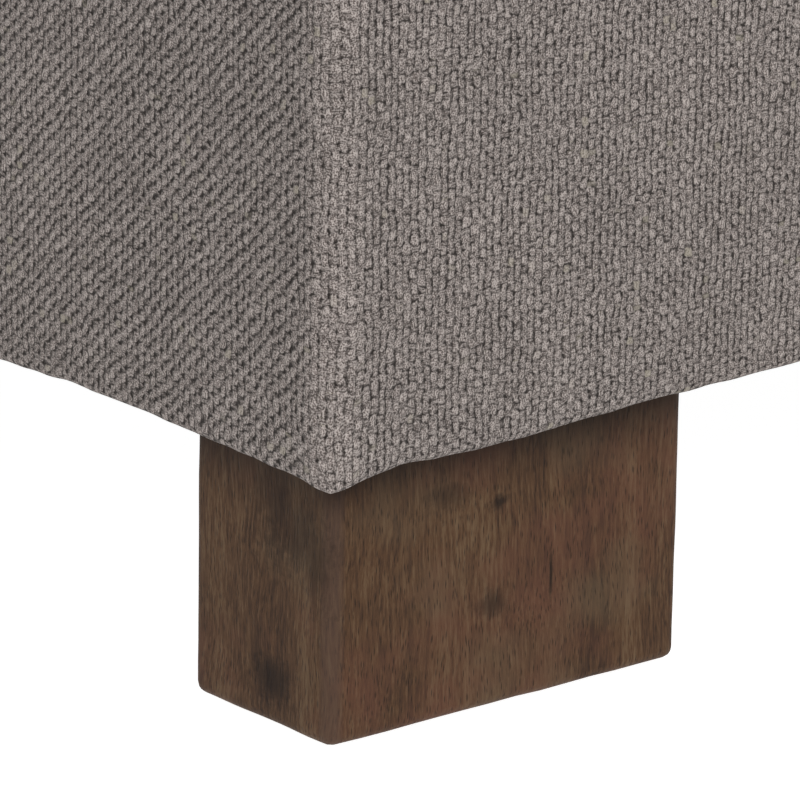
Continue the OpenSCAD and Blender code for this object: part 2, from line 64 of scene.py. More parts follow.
# ---------------------------------------------------------------- nodes and meshes


def linear(hex_colour: str) -> tuple[float, float, float, float]:
    """Turns an sRGB hex colour into linear light.

    Args:
        hex_colour: six hex digits, with or without a leading hash.

    Returns:
        Red, green, blue and an alpha of 1.
    """
    digits = hex_colour.lstrip("#")
    parts = [int(digits[k:k + 2], 16) / 255 for k in (0, 2, 4)]
    return (*[c / 12.92 if c <= 0.04045 else ((c + 0.055) / 1.055) ** 2.4 for c in parts], 1.0)


def add(tree: bpy.types.NodeTree, kind: str, inputs: Mapping[int | str, Link] | Sequence[Link] = (),
        stops: Sequence[tuple[float, str]] = (), **settings: Link) -> bpy.types.Node:
    """Adds a node with its settings and its links.

    Args:
        tree: the node tree.
        kind: the node's type name.
        inputs: what each input takes, by its place or its name: a node (its first output), a socket or a value.
        stops: the places from 0 to 1 along its colour band, if it has one, each with a hex colour.
        **settings: the node's own properties.

    Returns:
        The new node.
    """
    node = tree.nodes.new(kind)
    for key, value in settings.items():
        setattr(node, key, value)
    for number, (place, colour) in enumerate(stops):
        band = node.color_ramp.elements
        stop = band[number] if number < len(band) else band.new(place)
        stop.position, stop.color = place, linear(colour)
    pairs = inputs.items() if isinstance(inputs, Mapping) else enumerate(inputs)
    for key, value in pairs:
        if value is None:
            continue
        if isinstance(value, bpy.types.Node):
            value = value.outputs[0]
        if isinstance(value, bpy.types.NodeSocket):
            tree.links.new(value, node.inputs[key])
        else:
            node.inputs[key].default_value = value
    return node


def new_material(name: str) -> tuple[bpy.types.Material, bpy.types.NodeTree]:
    """Makes an empty node material.

    Args:
        name: the material's name.

    Returns:
        The material and its node tree.
    """
    material = bpy.data.materials.new(name)
    material.use_nodes = True
    material.node_tree.nodes.clear()
    return material, material.node_tree


def finish_material(tree: bpy.types.NodeTree, shader: bpy.types.Node) -> None:
    """Links a shader to the material's output.

    Args:
        tree: the node tree.
        shader: the last shader node.
    """
    add(tree, "ShaderNodeOutputMaterial", [shader])


def mesh_object(name: str, points: np.ndarray, faces: Sequence[Sequence[int]], smooth: bool = True) -> bpy.types.Object:
    """Makes a mesh object at the origin.

    Args:
        name: the object's name.
        points: one row for each vertex.
        faces: the vertices of each face, anticlockwise from outside.
        smooth: whether the faces are shaded smooth.

    Returns:
        The object, linked to the scene.
    """
    mesh = bpy.data.meshes.new(name)
    mesh.from_pydata([tuple(map(float, p)) for p in points], [], [tuple(map(int, f)) for f in faces])
    mesh.polygons.foreach_set("use_smooth", [smooth] * len(mesh.polygons))
    mesh.update()
    piece = bpy.data.objects.new(name, mesh)
    bpy.context.scene.collection.objects.link(piece)
    return piece


def dress(piece: bpy.types.Object, *materials: bpy.types.Material) -> bpy.types.Object:
    """Gives a piece its materials, in the order of its slots.

    Args:
        piece: the piece.
        *materials: one material for each slot.

    Returns:
        The piece.
    """
    piece.data.materials.clear()
    for material in materials:
        piece.data.materials.append(material)
    return piece


class Axis(Enum):
    """The three axes of the frame."""

    X = 0
    Y = 1
    Z = 2


# ---------------------------------------------------------------- finishes


@dataclass(frozen=True)
class WovenCloth:
    """Heavy upholstery cloth in a plain weave of plump slubby yarns, matt, with painted shade in the gaps between the
    floats and on the lower weft floats.
    """

    name: str = "slubby_plain_weave"
    warp_pitch: float = 2.32 * MM
    weft_pitch: float = 2.0 * MM
    weft_dome: float = 0.74
    weft_painted_shade: float = 0.8
    side_from: float = 0.536
    corner_at: float = 1.0472
    lean: float = 0.24
    stray: float = 0.42
    yarn_light: str = "#A59C97"
    yarn_mid: str = "#7A716D"
    yarn_dark: str = "#4B433F"
    # The gap colour is painted shade, laid into the hollows between the yarn floats.
    gap: str = "#1C1613"
    tint: str = "#857F6C"

    def material(self) -> bpy.types.Material:
        """Builds the cloth: yarn crossings worked out from the cloth's own thread directions.

        Returns:
            The material.
        """
        material, t = new_material(self.name)
        uv = add(t, "ShaderNodeUVMap", uv_map=CLOTH_UV)
        drift = add(t, "ShaderNodeTexNoise", {"Vector": uv, "Scale": 34.0, "Detail": 1.0}, noise_dimensions="2D")
        wobble = add(t, "ShaderNodeTexNoise", {"Vector": uv, "Scale": 170.0, "Detail": 2.0}, noise_dimensions="2D")
        centred = add(t, "ShaderNodeVectorMath", [drift.outputs["Color"], (0.5, 0.5, 0.5)], operation="SUBTRACT")
        wide = add(t, "ShaderNodeVectorMath", {0: centred, "Scale": 1.8 * MM}, operation="SCALE")
        small = add(t, "ShaderNodeVectorMath", [wobble.outputs["Color"], (0.5, 0.5, 0.5)], operation="SUBTRACT")
        close = add(t, "ShaderNodeVectorMath", {0: small, "Scale": 2.3 * MM}, operation="SCALE")
        moved = add(t, "ShaderNodeVectorMath", [add(t, "ShaderNodeVectorMath", [uv, wide], operation="ADD"), close],
                    operation="ADD")
        threads = add(t, "ShaderNodeVectorMath", [moved, (1 / self.warp_pitch, 1 / self.weft_pitch, 0)],
                      operation="MULTIPLY")
        cell = add(t, "ShaderNodeVectorMath", [threads], operation="FLOOR")
        across = add(t, "ShaderNodeSeparateXYZ", [threads])
        sine_x = self._wave(t, across.outputs[0])
        sine_y = self._wave(t, across.outputs[1])
        sign_x = add(t, "ShaderNodeMath", [sine_x], operation="SIGN")
        sign_y = add(t, "ShaderNodeMath", [sine_y], operation="SIGN")
        index = add(t, "ShaderNodeSeparateXYZ", [cell])
        warp_body = self._yarn(t, sine_x, index.outputs[0], 17.3)
        weft_body = self._yarn(t, sine_y, index.outputs[1], 41.9)
        warp_rise = add(t, "ShaderNodeMath", [sign_x, sine_y], operation="MULTIPLY")
        weft_rise = add(t, "ShaderNodeMath", [sign_y, sine_x], operation="MULTIPLY")
        warp_crest = add(t, "ShaderNodeMapRange", {0: warp_rise, 1: -0.75, 2: 0.3, 3: 0.12, 4: 1.0})
        weft_crest = add(t, "ShaderNodeMapRange", {0: weft_rise, 1: 0.6, 2: -0.9, 3: 0.08, 4: self.weft_dome})
        # The cloth opens over the near corner, where its yarns also get painted light and its gaps less painted shade,
        # and on the side before it the crossings line up in slanting ribs.
        round_it = add(t, "ShaderNodeSeparateXYZ", [uv]).outputs[0]
        before = add(t, "ShaderNodeMapRange", {0: round_it, 1: self.corner_at, 2: self.corner_at - 0.012, 3: 0.0,
                                               4: self.lean})
        after = add(t, "ShaderNodeMapRange", {0: round_it, 1: self.side_from, 2: self.side_from + 0.012})
        rib = add(t, "ShaderNodeMath", [before, after], operation="MULTIPLY")
        off = add(t, "ShaderNodeMath", [add(t, "ShaderNodeMath", [round_it, self.corner_at], operation="SUBTRACT")],
                  operation="ABSOLUTE")
        corner_band = add(t, "ShaderNodeMapRange", {0: off, 1: 0.010, 2: 0.004, 3: 1.0, 4: 0.84})
        pressed = add(t, "ShaderNodeMath", [warp_crest, corner_band], operation="MULTIPLY")
        warp = add(t, "ShaderNodeMath", [warp_body, pressed], operation="MULTIPLY")
        weft = add(t, "ShaderNodeMath", [weft_body, weft_crest], operation="MULTIPLY")
        over = add(t, "ShaderNodeMath", [warp, weft, 0.05], operation="SMOOTH_MAX")
        slant = add(t, "ShaderNodeMath", [across.outputs[0], across.outputs[1]], operation="SUBTRACT")
        ribbed = add(t, "ShaderNodeMath", [self._wave(t, slant, "COSINE"), rib, over], operation="MULTIPLY_ADD")
        loose = add(t, "ShaderNodeTexNoise", {"Vector": uv, "Scale": 700.0, "Detail": 2.0}, noise_dimensions="2D")
        stray = add(t, "ShaderNodeMapRange", {0: loose, 1: 0.2, 2: 0.8, 3: -self.stray, 4: self.stray})
        top = add(t, "ShaderNodeMath", [ribbed, stray], operation="ADD")
        warp_up = add(t, "ShaderNodeMath", [warp, weft], operation="GREATER_THAN")

        # Fibres run along whichever yarn is on top.
        along_warp = add(t, "ShaderNodeVectorMath", [moved, (3100, 520, 0)], operation="MULTIPLY")
        along_weft = add(t, "ShaderNodeVectorMath", [moved, (520, 3100, 0)], operation="MULTIPLY")
        along = add(t, "ShaderNodeMix", {"Factor": warp_up, 4: along_weft, 5: along_warp}, data_type="VECTOR")
        fibres = add(t, "ShaderNodeTexNoise", {"Vector": along.outputs[1], "Scale": 1.0, "Detail": 2.0},
                     noise_dimensions="2D")

        # Each float has its own lightness, and some are tinted.
        pick = add(t, "ShaderNodeMix", {"Factor": warp_up, 4: (0.31, 0.77, 0.0), 5: (0.0, 0.0, 0.0)},
                   data_type="VECTOR")
        own_cell = add(t, "ShaderNodeVectorMath", [cell, pick.outputs[1]], operation="ADD")
        chance = add(t, "ShaderNodeTexWhiteNoise", {"Vector": own_cell}, noise_dimensions="3D")
        patch = add(t, "ShaderNodeTexNoise", {"Vector": uv, "Scale": 22.0, "Detail": 3.0}, noise_dimensions="2D")
        fuzz = add(t, "ShaderNodeTexNoise", {"Vector": uv, "Scale": 2300.0, "Detail": 1.0}, noise_dimensions="2D")
        own = add(t, "ShaderNodeMath", [chance, 0.1, fuzz], operation="MULTIPLY_ADD")
        lift = add(t, "ShaderNodeMath", [fibres, 0.7, own], operation="MULTIPLY_ADD")
        spread = add(t, "ShaderNodeMapRange", {0: lift, 1: 0.6, 2: 1.1})
        yarn = add(t, "ShaderNodeValToRGB", [spread],
                   stops=[(0.12, self.yarn_dark), (0.56, self.yarn_mid), (0.84, self.yarn_light)])
        tinted = add(t, "ShaderNodeMapRange", {0: chance.outputs["Value"], 1: 0.975, 2: 1.0, 3: 0.0, 4: 0.5})
        coloured = add(t, "ShaderNodeMix", {"Factor": tinted, 6: yarn, 7: linear(self.tint)}, data_type="RGBA")
        cloud = add(t, "ShaderNodeMapRange", {0: patch, 1: 0.3, 2: 0.7, 3: 0.96, 4: 1.04})
        # Painted shade: the weft floats, which lie lower, are darkened.
        weft_recess_painted_shade = add(t, "ShaderNodeMapRange", {0: warp_up, 3: self.weft_painted_shade, 4: 1.0})
        # Painted light: the yarns over the near corner are made lighter.
        stretched = add(t, "ShaderNodeMapRange", {0: corner_band, 1: 0.84, 2: 1.0, 3: 1.07, 4: 1.0})
        cloud_and_corner_light = add(t, "ShaderNodeMath", [cloud, stretched], operation="MULTIPLY")
        shade = add(t, "ShaderNodeMath", [cloud_and_corner_light, weft_recess_painted_shade], operation="MULTIPLY")
        shaded = add(t, "ShaderNodeVectorMath", {0: coloured.outputs[2], "Scale": shade}, operation="SCALE")
        # Painted light: the gaps over the near corner get less painted shade.
        corner_painted_light_in_gaps = add(t, "ShaderNodeMapRange", {0: corner_band, 1: 0.84, 2: 1.0, 3: 0.13, 4: 0.0})
        seen = add(t, "ShaderNodeMath", [top, corner_painted_light_in_gaps], operation="ADD")
        # Painted shade: where the yarn surface lies low, its colour goes over to the gap colour.
        depth = add(t, "ShaderNodeMapRange", {0: seen, 1: 0.0, 2: 0.7}, interpolation_type="SMOOTHSTEP")
        colour = add(t, "ShaderNodeMix", {"Factor": depth, 6: linear(self.gap), 7: shaded}, data_type="RGBA")

        grain = add(t, "ShaderNodeMath", [fibres, 0.9, fuzz], operation="MULTIPLY_ADD")
        relief = add(t, "ShaderNodeMath", [grain, 0.28, top], operation="MULTIPLY_ADD")
        bump = add(t, "ShaderNodeBump", {"Strength": 1.0, "Distance": 0.62 * MM, "Height": relief})
        shader = add(t, "ShaderNodeBsdfPrincipled", {
            "Base Color": colour.outputs[2], "Roughness": 0.92, "Normal": bump, "Specular IOR Level": 0.25,
            "Sheen Weight": 0.12, "Sheen Roughness": 0.5, "Sheen Tint": linear("#CFC7C0")})
        finish_material(t, shader)
        return material

    def _wave(self, t: bpy.types.NodeTree, threads: Link, kind: str = "SINE") -> bpy.types.Node:
        """Adds a wave whose half waves are one thread wide.

        Args:
            t: the node tree.
            threads: a place across the cloth, counted in threads.
            kind: SINE or COSINE.

        Returns:
            The wave's node.
        """
        turned = add(t, "ShaderNodeMath", [threads, math.pi], operation="MULTIPLY")
        return add(t, "ShaderNodeMath", [turned], operation=kind)

    def _yarn(self, t: bpy.types.NodeTree, sine: Link, number: Link, seed: float) -> bpy.types.Node:
        """Adds the height of a yarn across its own width, thicker or thinner from yarn to yarn.

        Args:
            t: the node tree.
            sine: the wave across the yarns.
            number: the yarn's number.
            seed: sets one family of yarns apart from the other.

        Returns:
            The height's node, from 0 to 1.
        """
        size = add(t, "ShaderNodeTexWhiteNoise",
                   {"W": add(t, "ShaderNodeMath", [number, seed], operation="ADD")}, noise_dimensions="1D")
        power = add(t, "ShaderNodeMapRange", {0: size, 1: 0.0, 2: 1.0, 3: 0.45, 4: 0.95})
        width = add(t, "ShaderNodeMath", [sine], operation="ABSOLUTE")
        return add(t, "ShaderNodeMath", [width, power], operation="POWER")


@dataclass(frozen=True)
class Mark:
    """A dark mark on the wood, such as a knot, a check, a smear of stain, or painted shadow, in millimetres."""

    centre: tuple[float, float, float]
    reach: tuple[float, float, float]
    strength: float


@dataclass(frozen=True)
class StainedWood:
    """Solid wood with upright grain under a dark walnut stain, sanded through in places and waxed."""

    name: str = "distressed_walnut_stain"
    dark: str = "#332319"
    mid: str = "#493321"
    light: str = "#5B4733"
    red: str = "#5A392C"
    grey: str = "#574836"
    pore_mark_and_painted_shadow: str = "#120A06"
    worn: str = "#483830"
    marks: tuple[Mark, ...] = (
        Mark((-475.2, -253.5, 28.5), (7.0, 9.0, 5.5), 0.6), Mark((-473.3, -253.5, 54.5), (2.6, 4.0, 2.2), 0.85),
        Mark((-456.0, -253.5, 32.5), (0.9, 3.0, 11.0), 0.9), Mark((-526.5, -231.1, 13.6), (4.0, 8.5, 7.0), 0.75),
        Mark((-526.5, -226.5, 65.0), (5.0, 9.0, 11.0), 0.5), Mark((-526.5, -234.0, 60.0), (5.0, 9.0, 11.0), 0.55),
        Mark((-526.5, -241.4, 55.0), (5.0, 8.0, 12.0), 0.55), Mark((-526.5, -247.3, 47.0), (5.0, 6.0, 14.0), 0.5),
        # The two marks below, wide and just under the hem on the front face, are painted shadow from the cover.
        Mark((-489.5, -253.5, 60.0), (12.0, 6.0, 5.0), 0.5), Mark((-440.0, -253.5, 66.0), (10.0, 6.0, 4.0), 0.5))

    def material(self) -> bpy.types.Material:
        """Builds the wood from patterns stretched along the upright grain.

        Returns:
            The material.
        """
        material, t = new_material(self.name)
        place = add(t, "ShaderNodeTexCoord").outputs["Object"]
        bend = add(t, "ShaderNodeTexNoise", {"Vector": place, "Scale": 14.0, "Detail": 2.0})
        bent = add(t, "ShaderNodeVectorMath", {0: bend.outputs["Color"], 1: (0.012, 0.012, 0.0), 2: place},
                   operation="MULTIPLY_ADD")
        broad = add(t, "ShaderNodeTexNoise", {
            "Vector": add(t, "ShaderNodeMapping", {"Vector": bent, "Scale": (70.0, 70.0, 7.0)}),
            "Scale": 1.0, "Detail": 5.0, "Roughness": 0.6})
        fine = add(t, "ShaderNodeTexNoise", {
            "Vector": add(t, "ShaderNodeMapping", {"Vector": bent, "Scale": (1300.0, 1300.0, 110.0)}),
            "Scale": 1.0, "Detail": 4.0, "Roughness": 0.75})
        patch = add(t, "ShaderNodeTexNoise", {"Vector": place, "Scale": 26.0, "Detail": 3.0, "Roughness": 0.65})
        mixed = add(t, "ShaderNodeMath", [fine, 0.6, add(t, "ShaderNodeMath", [broad, 0.4], operation="MULTIPLY")],
                    operation="MULTIPLY_ADD")
        wood = add(t, "ShaderNodeValToRGB", [mixed], stops=[(0.39, self.dark), (0.5, self.mid), (0.61, self.light)])
        redness = add(t, "ShaderNodeMapRange", {0: patch, 1: 0.48, 2: 0.66, 3: 0.0, 4: 0.45})
        warm = add(t, "ShaderNodeMix", {"Factor": redness, 6: wood, 7: linear(self.red)}, data_type="RGBA")
        cool_patch = add(t, "ShaderNodeTexNoise", {
            "Vector": add(t, "ShaderNodeMapping", {"Vector": place, "Location": (3.0, 1.0, 2.0)}),
            "Scale": 30.0, "Detail": 3.0})
        greyness = add(t, "ShaderNodeMapRange", {0: cool_patch, 1: 0.52, 2: 0.72, 3: 0.0, 4: 0.5})
        worn = add(t, "ShaderNodeMix", {"Factor": greyness, 6: warm.outputs[2], 7: linear(self.grey)},
                   data_type="RGBA")
        pores = add(t, "ShaderNodeTexVoronoi", {
            "Vector": add(t, "ShaderNodeMapping", {"Vector": bent, "Scale": (1500.0, 1500.0, 240.0)}), "Scale": 1.0})
        tick = add(t, "ShaderNodeMapRange", {0: pores.outputs["Distance"], 1: 0.12, 2: 0.34, 3: 0.68, 4: 0.0})
        pored = add(t, "ShaderNodeMix", {"Factor": tick, 6: worn.outputs[2], 7: linear(self.pore_mark_and_painted_shadow)}, data_type="RGBA")
        rubbed = add(t, "ShaderNodeMix", {"Factor": self._front_edge(t, place), 6: pored.outputs[2],
                                          7: linear(self.worn)}, data_type="RGBA")
        # The marks and the painted shadow under the hem darken the wood here.
        colour = add(t, "ShaderNodeMix", {"Factor": self._marks_and_painted_shadow(t, place, patch), 6: rubbed.outputs[2],
                                          7: linear(self.pore_mark_and_painted_shadow)}, data_type="RGBA")
        relief = add(t, "ShaderNodeMath", [tick, -0.6, mixed], operation="MULTIPLY_ADD")
        bump = add(t, "ShaderNodeBump", {"Strength": 0.5, "Distance": 0.25 * MM, "Height": relief})
        rough = add(t, "ShaderNodeMapRange", {0: mixed, 1: 0.3, 2: 0.7, 3: 0.72, 4: 0.56})
        shader = add(t, "ShaderNodeBsdfPrincipled", {
            "Base Color": colour.outputs[2], "Roughness": rough, "Normal": bump, "Specular IOR Level": 0.12})
        finish_material(t, shader)
        return material

    def _front_edge(self, t: bpy.types.NodeTree, place: Link) -> bpy.types.Node:
        """Finds the rubbed upright edge of the near foot.

        Args:
            t: the node tree.
            place: the place on the wood.

        Returns:
            How rubbed it is, from 0 to 1.
        """
        shifted = add(t, "ShaderNodeMapping", {"Vector": place, "Location": (0.5252, 0.2522, 0.0), "Scale": (1, 1, 0)})
        off = add(t, "ShaderNodeVectorMath", [shifted], operation="LENGTH")
        return add(t, "ShaderNodeMapRange", {0: off.outputs["Value"], 1: 3.6 * MM, 2: 1.4 * MM, 3: 0.0, 4: 0.6})

    def _marks_and_painted_shadow(self, t: bpy.types.NodeTree, place: Link, patch: Link) -> bpy.types.Node:
        """Adds up the marks and a painted shadow on the top of the foot, under the cover's hem.

        Args:
            t: the node tree.
            place: the place on the wood.
            patch: a cloudy pattern that breaks the marks up.

        Returns:
            How dark the wood is, from 0 to 1.
        """
        height = add(t, "ShaderNodeSeparateXYZ", [place]).outputs[2]
        # Painted shadow: the wood darkens towards the top of the foot, under the cover's hem.
        total = add(t, "ShaderNodeMapRange", {0: height, 1: 54 * MM, 2: 73 * MM, 3: 0.0, 4: 0.72},
                    interpolation_type="SMOOTHSTEP")
        torn = add(t, "ShaderNodeTexNoise", {"Vector": place, "Scale": 420.0, "Detail": 4.0, "Roughness": 0.7})
        both = add(t, "ShaderNodeMath", [patch, torn], operation="ADD")
        ragged = add(t, "ShaderNodeMapRange", {0: both, 1: 0.7, 2: 1.3, 3: 0.35, 4: 1.65})
        for mark in self.marks:
            scale = [1000 / reach for reach in mark.reach]
            moved = add(t, "ShaderNodeMapping", {
                "Vector": place, "Scale": scale,
                "Location": [-c / reach for c, reach in zip(mark.centre, mark.reach)]})
            far = add(t, "ShaderNodeVectorMath", [moved], operation="LENGTH")
            rough = add(t, "ShaderNodeMath", [far.outputs["Value"], ragged], operation="MULTIPLY")
            dark = add(t, "ShaderNodeMapRange", {0: rough, 1: 1.2, 2: 0.1, 3: 0.0, 4: mark.strength},
                       interpolation_type="SMOOTHSTEP")
            total = add(t, "ShaderNodeMath", [total, dark], operation="MAXIMUM")
        return total


@dataclass(frozen=True)
class GrainedSheet:
    """Timber in one of two cuts: solid pine with long grain, or birch plywood whose plies show on the edges."""

    name: str
    grain: "Axis"
    ply: "Axis | None" = None
    ply_thick: float = 1.5 * MM
    pale: str = "#D9BE94"
    dark: str = "#B08D5F"

    def material(self) -> bpy.types.Material:
        """Builds the timber: stretched grain, and bands across the plies where there are any.

        Returns:
            The material.
        """
        material, t = new_material(self.name)
        place = add(t, "ShaderNodeTexCoord").outputs["Object"]
        squeeze = [260.0, 260.0, 260.0]
        squeeze[self.grain.value] = 9.0
        stretched = add(t, "ShaderNodeMapping", {"Vector": place, "Scale": squeeze})
        grain = add(t, "ShaderNodeTexNoise", {"Vector": stretched, "Scale": 1.0, "Detail": 5.0, "Roughness": 0.62,
                                              "Distortion": 0.6})
        cloud = add(t, "ShaderNodeTexNoise", {"Vector": place, "Scale": 7.0, "Detail": 2.0})
        both = add(t, "ShaderNodeMath", [cloud, 0.4, grain], operation="MULTIPLY_ADD")
        colour = add(t, "ShaderNodeValToRGB", [both], stops=[(0.55, self.dark), (0.72, self.pale)]).outputs[0]
        height = grain.outputs[0]
        if self.ply is not None:
            across = add(t, "ShaderNodeSeparateXYZ", [place]).outputs[self.ply.value]
            turns = add(t, "ShaderNodeMath", [across, 1 / self.ply_thick], operation="MULTIPLY")
            stripe = add(t, "ShaderNodeMath", [add(t, "ShaderNodeMath", [turns], operation="FRACT"), 0.5],
                         operation="GREATER_THAN")
            shade = add(t, "ShaderNodeMapRange", {0: stripe, 3: 0.0, 4: 0.5})
            colour = add(t, "ShaderNodeMix", {"Factor": shade, 6: colour, 7: linear(self.dark)},
                         data_type="RGBA").outputs[2]
        bump = add(t, "ShaderNodeBump", {"Strength": 0.4, "Distance": 0.2 * MM, "Height": height})
        finish_material(t, add(t, "ShaderNodeBsdfPrincipled", {
            "Base Color": colour, "Roughness": 0.7, "Specular IOR Level": 0.3, "Normal": bump}))
        return material


@dataclass(frozen=True)
class OpenFoam:
    """Cut polyurethane foam with fine open cells."""

    name: str = "polyurethane_foam"
    pale: str = "#EFE3B4"
    dark: str = "#CDBB80"
    cell: float = 0.8 * MM

    def material(self) -> bpy.types.Material:
        """Builds the foam from small cells.

        Returns:
            The material.
        """
        material, t = new_material(self.name)
        place = add(t, "ShaderNodeTexCoord").outputs["Object"]
        cells = add(t, "ShaderNodeTexVoronoi", {"Vector": place, "Scale": 1 / self.cell})
        colour = add(t, "ShaderNodeValToRGB", [cells.outputs["Distance"]],
                     stops=[(0.1, self.dark), (0.5, self.pale)])
        bump = add(t, "ShaderNodeBump", {"Strength": 0.7, "Distance": 0.3 * MM, "Height": cells.outputs["Distance"]})
        finish_material(t, add(t, "ShaderNodeBsdfPrincipled", {
            "Base Color": colour, "Roughness": 0.95, "Specular IOR Level": 0.2, "Normal": bump}))
        return material


@dataclass(frozen=True)
class FibreSheet:
    """Cloth seen from its fibres: polyester wadding, spunbond dust cover or a fine woven lining."""

    name: str
    light: str
    dark: str
    fibre: float = 0.4 * MM
    bond_pitch: float = 0.0
    thread_pitch: float = 0.0

    def material(self) -> bpy.types.Material:
        """Builds the sheet from tangled fibres, with bond points or threads where it has them.

        Returns:
            The material.
        """
        material, t = new_material(self.name)
        place = add(t, "ShaderNodeTexCoord").outputs["Object"]
        tangle = add(t, "ShaderNodeTexNoise", {"Vector": place, "Scale": 1 / self.fibre, "Detail": 3.0,
                                               "Distortion": 1.5})
        height = tangle.outputs[0]
        pitch = self.bond_pitch or self.thread_pitch
        if pitch:
            scaled = add(t, "ShaderNodeVectorMath", {0: place, "Scale": math.pi / pitch}, operation="SCALE")
            waves = add(t, "ShaderNodeVectorMath", [scaled], operation="SINE")
            part = add(t, "ShaderNodeSeparateXYZ", [waves])
            flat = add(t, "ShaderNodeMath", [part.outputs[0], part.outputs[1]], operation="MULTIPLY")
            upright = add(t, "ShaderNodeMath", [part.outputs[0], part.outputs[2]], operation="MULTIPLY")
            side = add(t, "ShaderNodeMath", [part.outputs[1], part.outputs[2]], operation="MULTIPLY")
            total = add(t, "ShaderNodeMath", [add(t, "ShaderNodeMath", [flat, upright], operation="ADD"), side],
                        operation="ADD")
            height = add(t, "ShaderNodeMath", [total, 0.3, height], operation="MULTIPLY_ADD").outputs[0]
        colour = add(t, "ShaderNodeValToRGB", [height], stops=[(0.3, self.dark), (0.7, self.light)])
        bump = add(t, "ShaderNodeBump", {"Strength": 0.6, "Distance": 0.15 * MM, "Height": height})
        finish_material(t, add(t, "ShaderNodeBsdfPrincipled", {
            "Base Color": colour, "Roughness": 0.9, "Specular IOR Level": 0.25, "Sheen Weight": 0.1,
            "Normal": bump}))
        return material


@dataclass(frozen=True)
class RolledMetal:
    """Steel with a thin plated or lacquered coat, slightly uneven from rolling."""

    name: str
    light: str
    dark: str
    rough: float = 0.34

    def material(self) -> bpy.types.Material:
        """Builds the metal from fine scratches and a soft cloudiness.

        Returns:
            The material.
        """
        material, t = new_material(self.name)
        place = add(t, "ShaderNodeTexCoord").outputs["Object"]
        rolled = add(t, "ShaderNodeMapping", {"Vector": place, "Scale": (60.0, 900.0, 900.0)})
        scratch = add(t, "ShaderNodeTexNoise", {"Vector": rolled, "Scale": 1.0, "Detail": 4.0})
        cloud = add(t, "ShaderNodeTexNoise", {"Vector": place, "Scale": 90.0, "Detail": 3.0})
        colour = add(t, "ShaderNodeValToRGB", [cloud], stops=[(0.35, self.dark), (0.65, self.light)])
        rough = add(t, "ShaderNodeMapRange", {0: scratch, 1: 0.3, 2: 0.7, 3: self.rough - 0.08, 4: self.rough + 0.12})
        bump = add(t, "ShaderNodeBump", {"Strength": 0.25, "Distance": 0.05 * MM, "Height": scratch})
        finish_material(t, add(t, "ShaderNodeBsdfPrincipled", {
            "Base Color": colour, "Metallic": 1.0, "Roughness": rough, "Normal": bump}))
        return material


@dataclass(frozen=True)
class Moulded:
    """Moulded plastic or rubber with a fine spark-eroded grain."""

    name: str
    light: str
    dark: str
    rough: float = 0.5

    def material(self) -> bpy.types.Material:
        """Builds the moulding from a fine pebbled grain.

        Returns:
            The material.
        """
        material, t = new_material(self.name)
        place = add(t, "ShaderNodeTexCoord").outputs["Object"]
        pebble = add(t, "ShaderNodeTexNoise", {"Vector": place, "Scale": 2600.0, "Detail": 2.0})
        cloud = add(t, "ShaderNodeTexNoise", {"Vector": place, "Scale": 120.0, "Detail": 2.0})
        colour = add(t, "ShaderNodeValToRGB", [cloud], stops=[(0.3, self.dark), (0.7, self.light)])
        rough = add(t, "ShaderNodeMapRange", {0: pebble, 1: 0.3, 2: 0.7, 3: self.rough - 0.08, 4: self.rough + 0.08})
        bump = add(t, "ShaderNodeBump", {"Strength": 0.4, "Distance": 0.06 * MM, "Height": pebble})
        finish_material(t, add(t, "ShaderNodeBsdfPrincipled", {
            "Base Color": colour, "Roughness": rough, "Specular IOR Level": 0.45, "Normal": bump}))
        return material


# ---------------------------------------------------------------- studio


